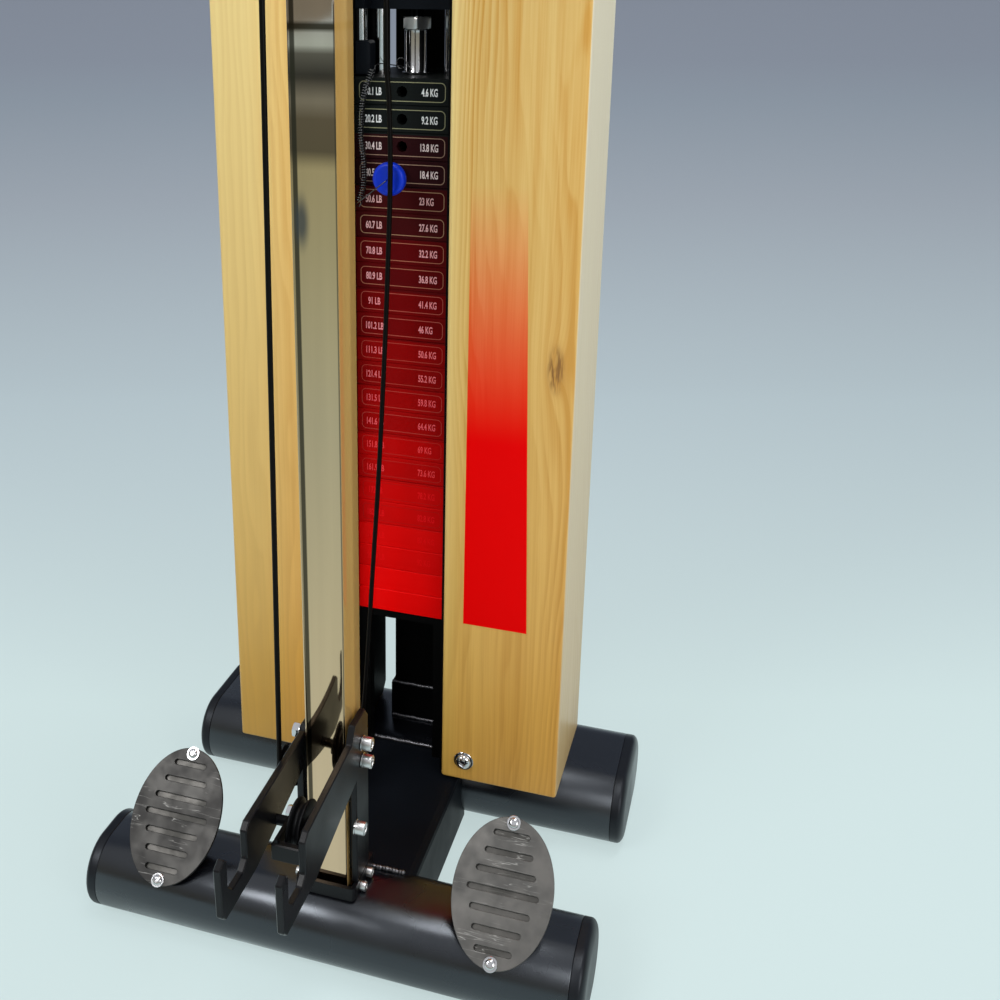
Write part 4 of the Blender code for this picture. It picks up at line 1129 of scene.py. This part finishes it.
def lanyard_route():
    """Wire from the stem's foot, a coil along a gently bent line, and wire to the knob's middle."""
    line = catmull([(-35, 32, 1050), (-45.5, 30, 1020), (-49.5, 30, 987), (-49.5, 30, 966),
                    (-46.3, 30, 940), (-46.5, 30, 912), (-52.5, 30, 890)], 40)
    centre = evenly(line, int(length_of(line) / CURL_PITCH) * CURL_STEPS + 1)[1]
    along = np.gradient(centre, axis=0)
    along /= np.linalg.norm(along, axis=1)[:, None]
    side = np.cross(along, (0, 1, 0))
    side /= np.linalg.norm(side, axis=1)[:, None]
    turn = (2 * np.pi * np.arange(len(centre)) / CURL_STEPS)[:, None]
    coil = centre + CURL_RADIUS * (np.cos(turn) * side + np.sin(turn) * np.cross(along, side))
    z = plate_middle(LIFTED_PLATES) / MM
    top = catmull([(-3, 84, 1047), (-6, 83, 1051), (-10, 82, 1058), (-16, 81, 1060), (-20, 80, 1055),
                   (-17, 78.5, 1049), (-11, 77, 1048), (-11, 72, 1051), (-16, 60, 1053), (-27, 42, 1056),
                   coil[0] + (1, 1, 5.5), coil[0] + (0, 0, 2.5)], 8)
    tail = catmull([coil[-1] + (-1, -1, -2.5), coil[-1] + (-1.5, -6, -4.5), (-44, 0, 893), (-24, -13.5, 908),
                    (-5, -14, 923), (-2.5, -11.4, z), (-2.5, -8.9, z)], 8)
    return np.vstack([top, coil, tail]) * MM


class StationLanyard(bpy.types.Operator):
    """Winds the curly cord between the stem and the pin's knob"""

    bl_idname = "station.lanyard"
    bl_label = "Lanyard"

    def execute(self, context):
        path = lanyard_route()
        cord = tube("lanyard_coil", path, sizes().wire_radius, 10, finish("cord"))
        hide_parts("lanyard_cord")
        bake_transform(cord)
        return {"FINISHED"}


class StationStudio(bpy.types.Operator):
    """Sets the floor, the backdrop, the lamps and the camera"""

    bl_idname = "station.studio"
    bl_label = "Studio"

    def execute(self, context):
        self.backdrop()
        self.world()
        self.lamps()
        self.camera(context.scene.station_stage)
        context.scene.view_settings.view_transform = "Standard"
        return {"FINISHED"}

    def backdrop(self):
        """A floor that curves up into a wall and faces the camera; its colour goes with the slope from the lens."""
        near, far, bend, top, half_width = -40.0, 1.9, 1.2, 5.0, 16.0
        turn = np.radians(np.linspace(-90, 0, 24))
        curve = np.stack([far + bend * np.cos(turn), bend + bend * np.sin(turn)], 1)
        profile = np.vstack([[(near, 0.0), (far, 0.0)], curve[1:], [(far + bend, top)]])
        heading = math.radians(CAMERA_TURN)
        ahead = (-math.sin(heading), math.cos(heading))
        aside = (ahead[1], -ahead[0])
        points = [(ahead[0] * y + aside[0] * x, ahead[1] * y + aside[1] * x, z - 0.0004)
                  for y, z in profile for x in (-half_width, half_width)]
        obj = shell("studio_floor", points, grid_faces(len(profile), 2, wrap_columns=False))
        material, shader, coords = new_material("studio paper")
        x, y, z = axes(coords)
        depth = plus(times(x, ahead[0]), times(y, ahead[1]))
        start = CAMERA_PLACE[0] * ahead[0] + CAMERA_PLACE[1] * ahead[1]
        depth = maths("MAXIMUM", minus(depth, start), 0.3)
        fall = maths("DIVIDE", minus(CAMERA_PLACE[2], z), depth)
        colour = ramp(span(fall, 0.02, 0.70), [
            (0.0, srgb("858C99")), (0.0775, srgb("88909D")), (0.125, srgb("8D97A3")), (0.247, srgb("9EA7B1")),
            (0.512, srgb("BBCAD0")), (0.968, srgb("D2E4E4"))])
        feed(shader, {"Roughness": 0.9, "Specular IOR Level": 0.0, "Base Color": colour})
        glow = after("ShaderNodeEmission", {"Color": colour, "Strength": 1.0})[0]
        paths = node(material.node_tree, "ShaderNodeLightPath").outputs
        seen = maths("MAXIMUM", paths["Is Camera Ray"], paths["Is Glossy Ray"])
        seen = times(maths("MAXIMUM", seen, paths["Is Transmission Ray"]), 0.72)
        mixed = after("ShaderNodeMixShader", {0: seen, 1: shader.outputs[0], 2: glow})[0]
        feed(material.node_tree.nodes["Material Output"], {"Surface": mixed})
        obj.data.materials.append(material)

    def world(self):
        """Even light, and for mirrors a room that brightens upwards."""
        world = bpy.data.worlds.new("studio")
        bpy.context.scene.world = world
        world.use_nodes = True
        tree = world.node_tree
        rise = axes(node(tree, "ShaderNodeTexCoord").outputs["Generated"])[2]
        room = ramp(span(rise, -0.2, 0.9), [
            (0.0, srgb("8F8A78")), (0.3, srgb("B9B4A2")), (0.55, srgb("D9DADB")), (1.0, srgb("F4F6FA"))])
        mirrored = node(tree, "ShaderNodeLightPath").outputs["Is Glossy Ray"]
        feed(tree.nodes["Background"], {"Color": mix(mirrored, srgb("E2E6EA"), room), "Strength": 0.75})

    def lamps(self):
        for name, place, aim, size, power in (
            ("key", (-1.6, -2.6, 3.2), (0.0, 0.0, 0.6), (1.6, 1.2), 62.0),
            ("fill", (2.4, -1.8, 1.8), (0.1, 0.0, 0.7), (1.6, 1.6), 34.0),
            ("top", (0.6, -0.2, 3.6), (0.0, 0.0, 0.2), (2.2, 0.5), 36.0),
        ):
            lamp = bpy.data.lights.new(name, "AREA")
            lamp.shape = "RECTANGLE"
            lamp.size, lamp.size_y = size
            lamp.energy = power
            obj = placed(name, lamp)
            obj.location = place
            obj.visible_camera = False
            obj.rotation_euler = (Vector(aim) - Vector(place)).to_track_quat("-Z", "Y").to_euler()

    def camera(self, stage):
        camera = bpy.data.cameras.new("camera")
        camera.lens = stage.focal_length
        camera.sensor_width = 36.0
        camera.shift_x, camera.shift_y = stage.shift_x, stage.shift_y
        camera.clip_end = 50.0
        obj = placed("camera", camera)
        obj.location = CAMERA_PLACE
        obj.rotation_euler = (math.radians(90 - CAMERA_DROP), 0.0, math.radians(CAMERA_TURN))
        bpy.context.scene.camera = obj


STEPS = (StationTimber, StationSteelwork, StationTubing, StationColumn, StationFootPlates, StationPulleys,
         StationSelector, StationLabels, StationFasteners, StationWelds, StationCables, StationLanyard,
         StationStudio)


class StationPanel(bpy.types.Panel):
    """Lists the station's pieces in the sidebar"""

    bl_idname = "VIEW3D_PT_station"
    bl_label = "Cable Station"
    bl_space_type = "VIEW_3D"
    bl_region_type = "UI"
    bl_category = "Station"

    def draw(self, context):
        for settings in (context.scene.station_sizes, context.scene.station_stage):
            for key in settings.__annotations__:
                self.layout.prop(settings, key)
        for step in STEPS:
            self.layout.operator(step.bl_idname)


CLASSES = (StationSizes, StationStage, *STEPS, StationPanel)


def register():
    for each in CLASSES:
        bpy.utils.register_class(each)
    bpy.types.Scene.station_sizes = bpy.props.PointerProperty(type=StationSizes)
    bpy.types.Scene.station_stage = bpy.props.PointerProperty(type=StationStage)


def unregister():
    del bpy.types.Scene.station_stage
    del bpy.types.Scene.station_sizes
    for each in reversed(CLASSES):
        bpy.utils.unregister_class(each)


def main():
    register()
    for step in STEPS:
        group, word = step.bl_idname.split(".")
        getattr(getattr(bpy.ops, group), word)()


if __name__ == "__main__":
    main()
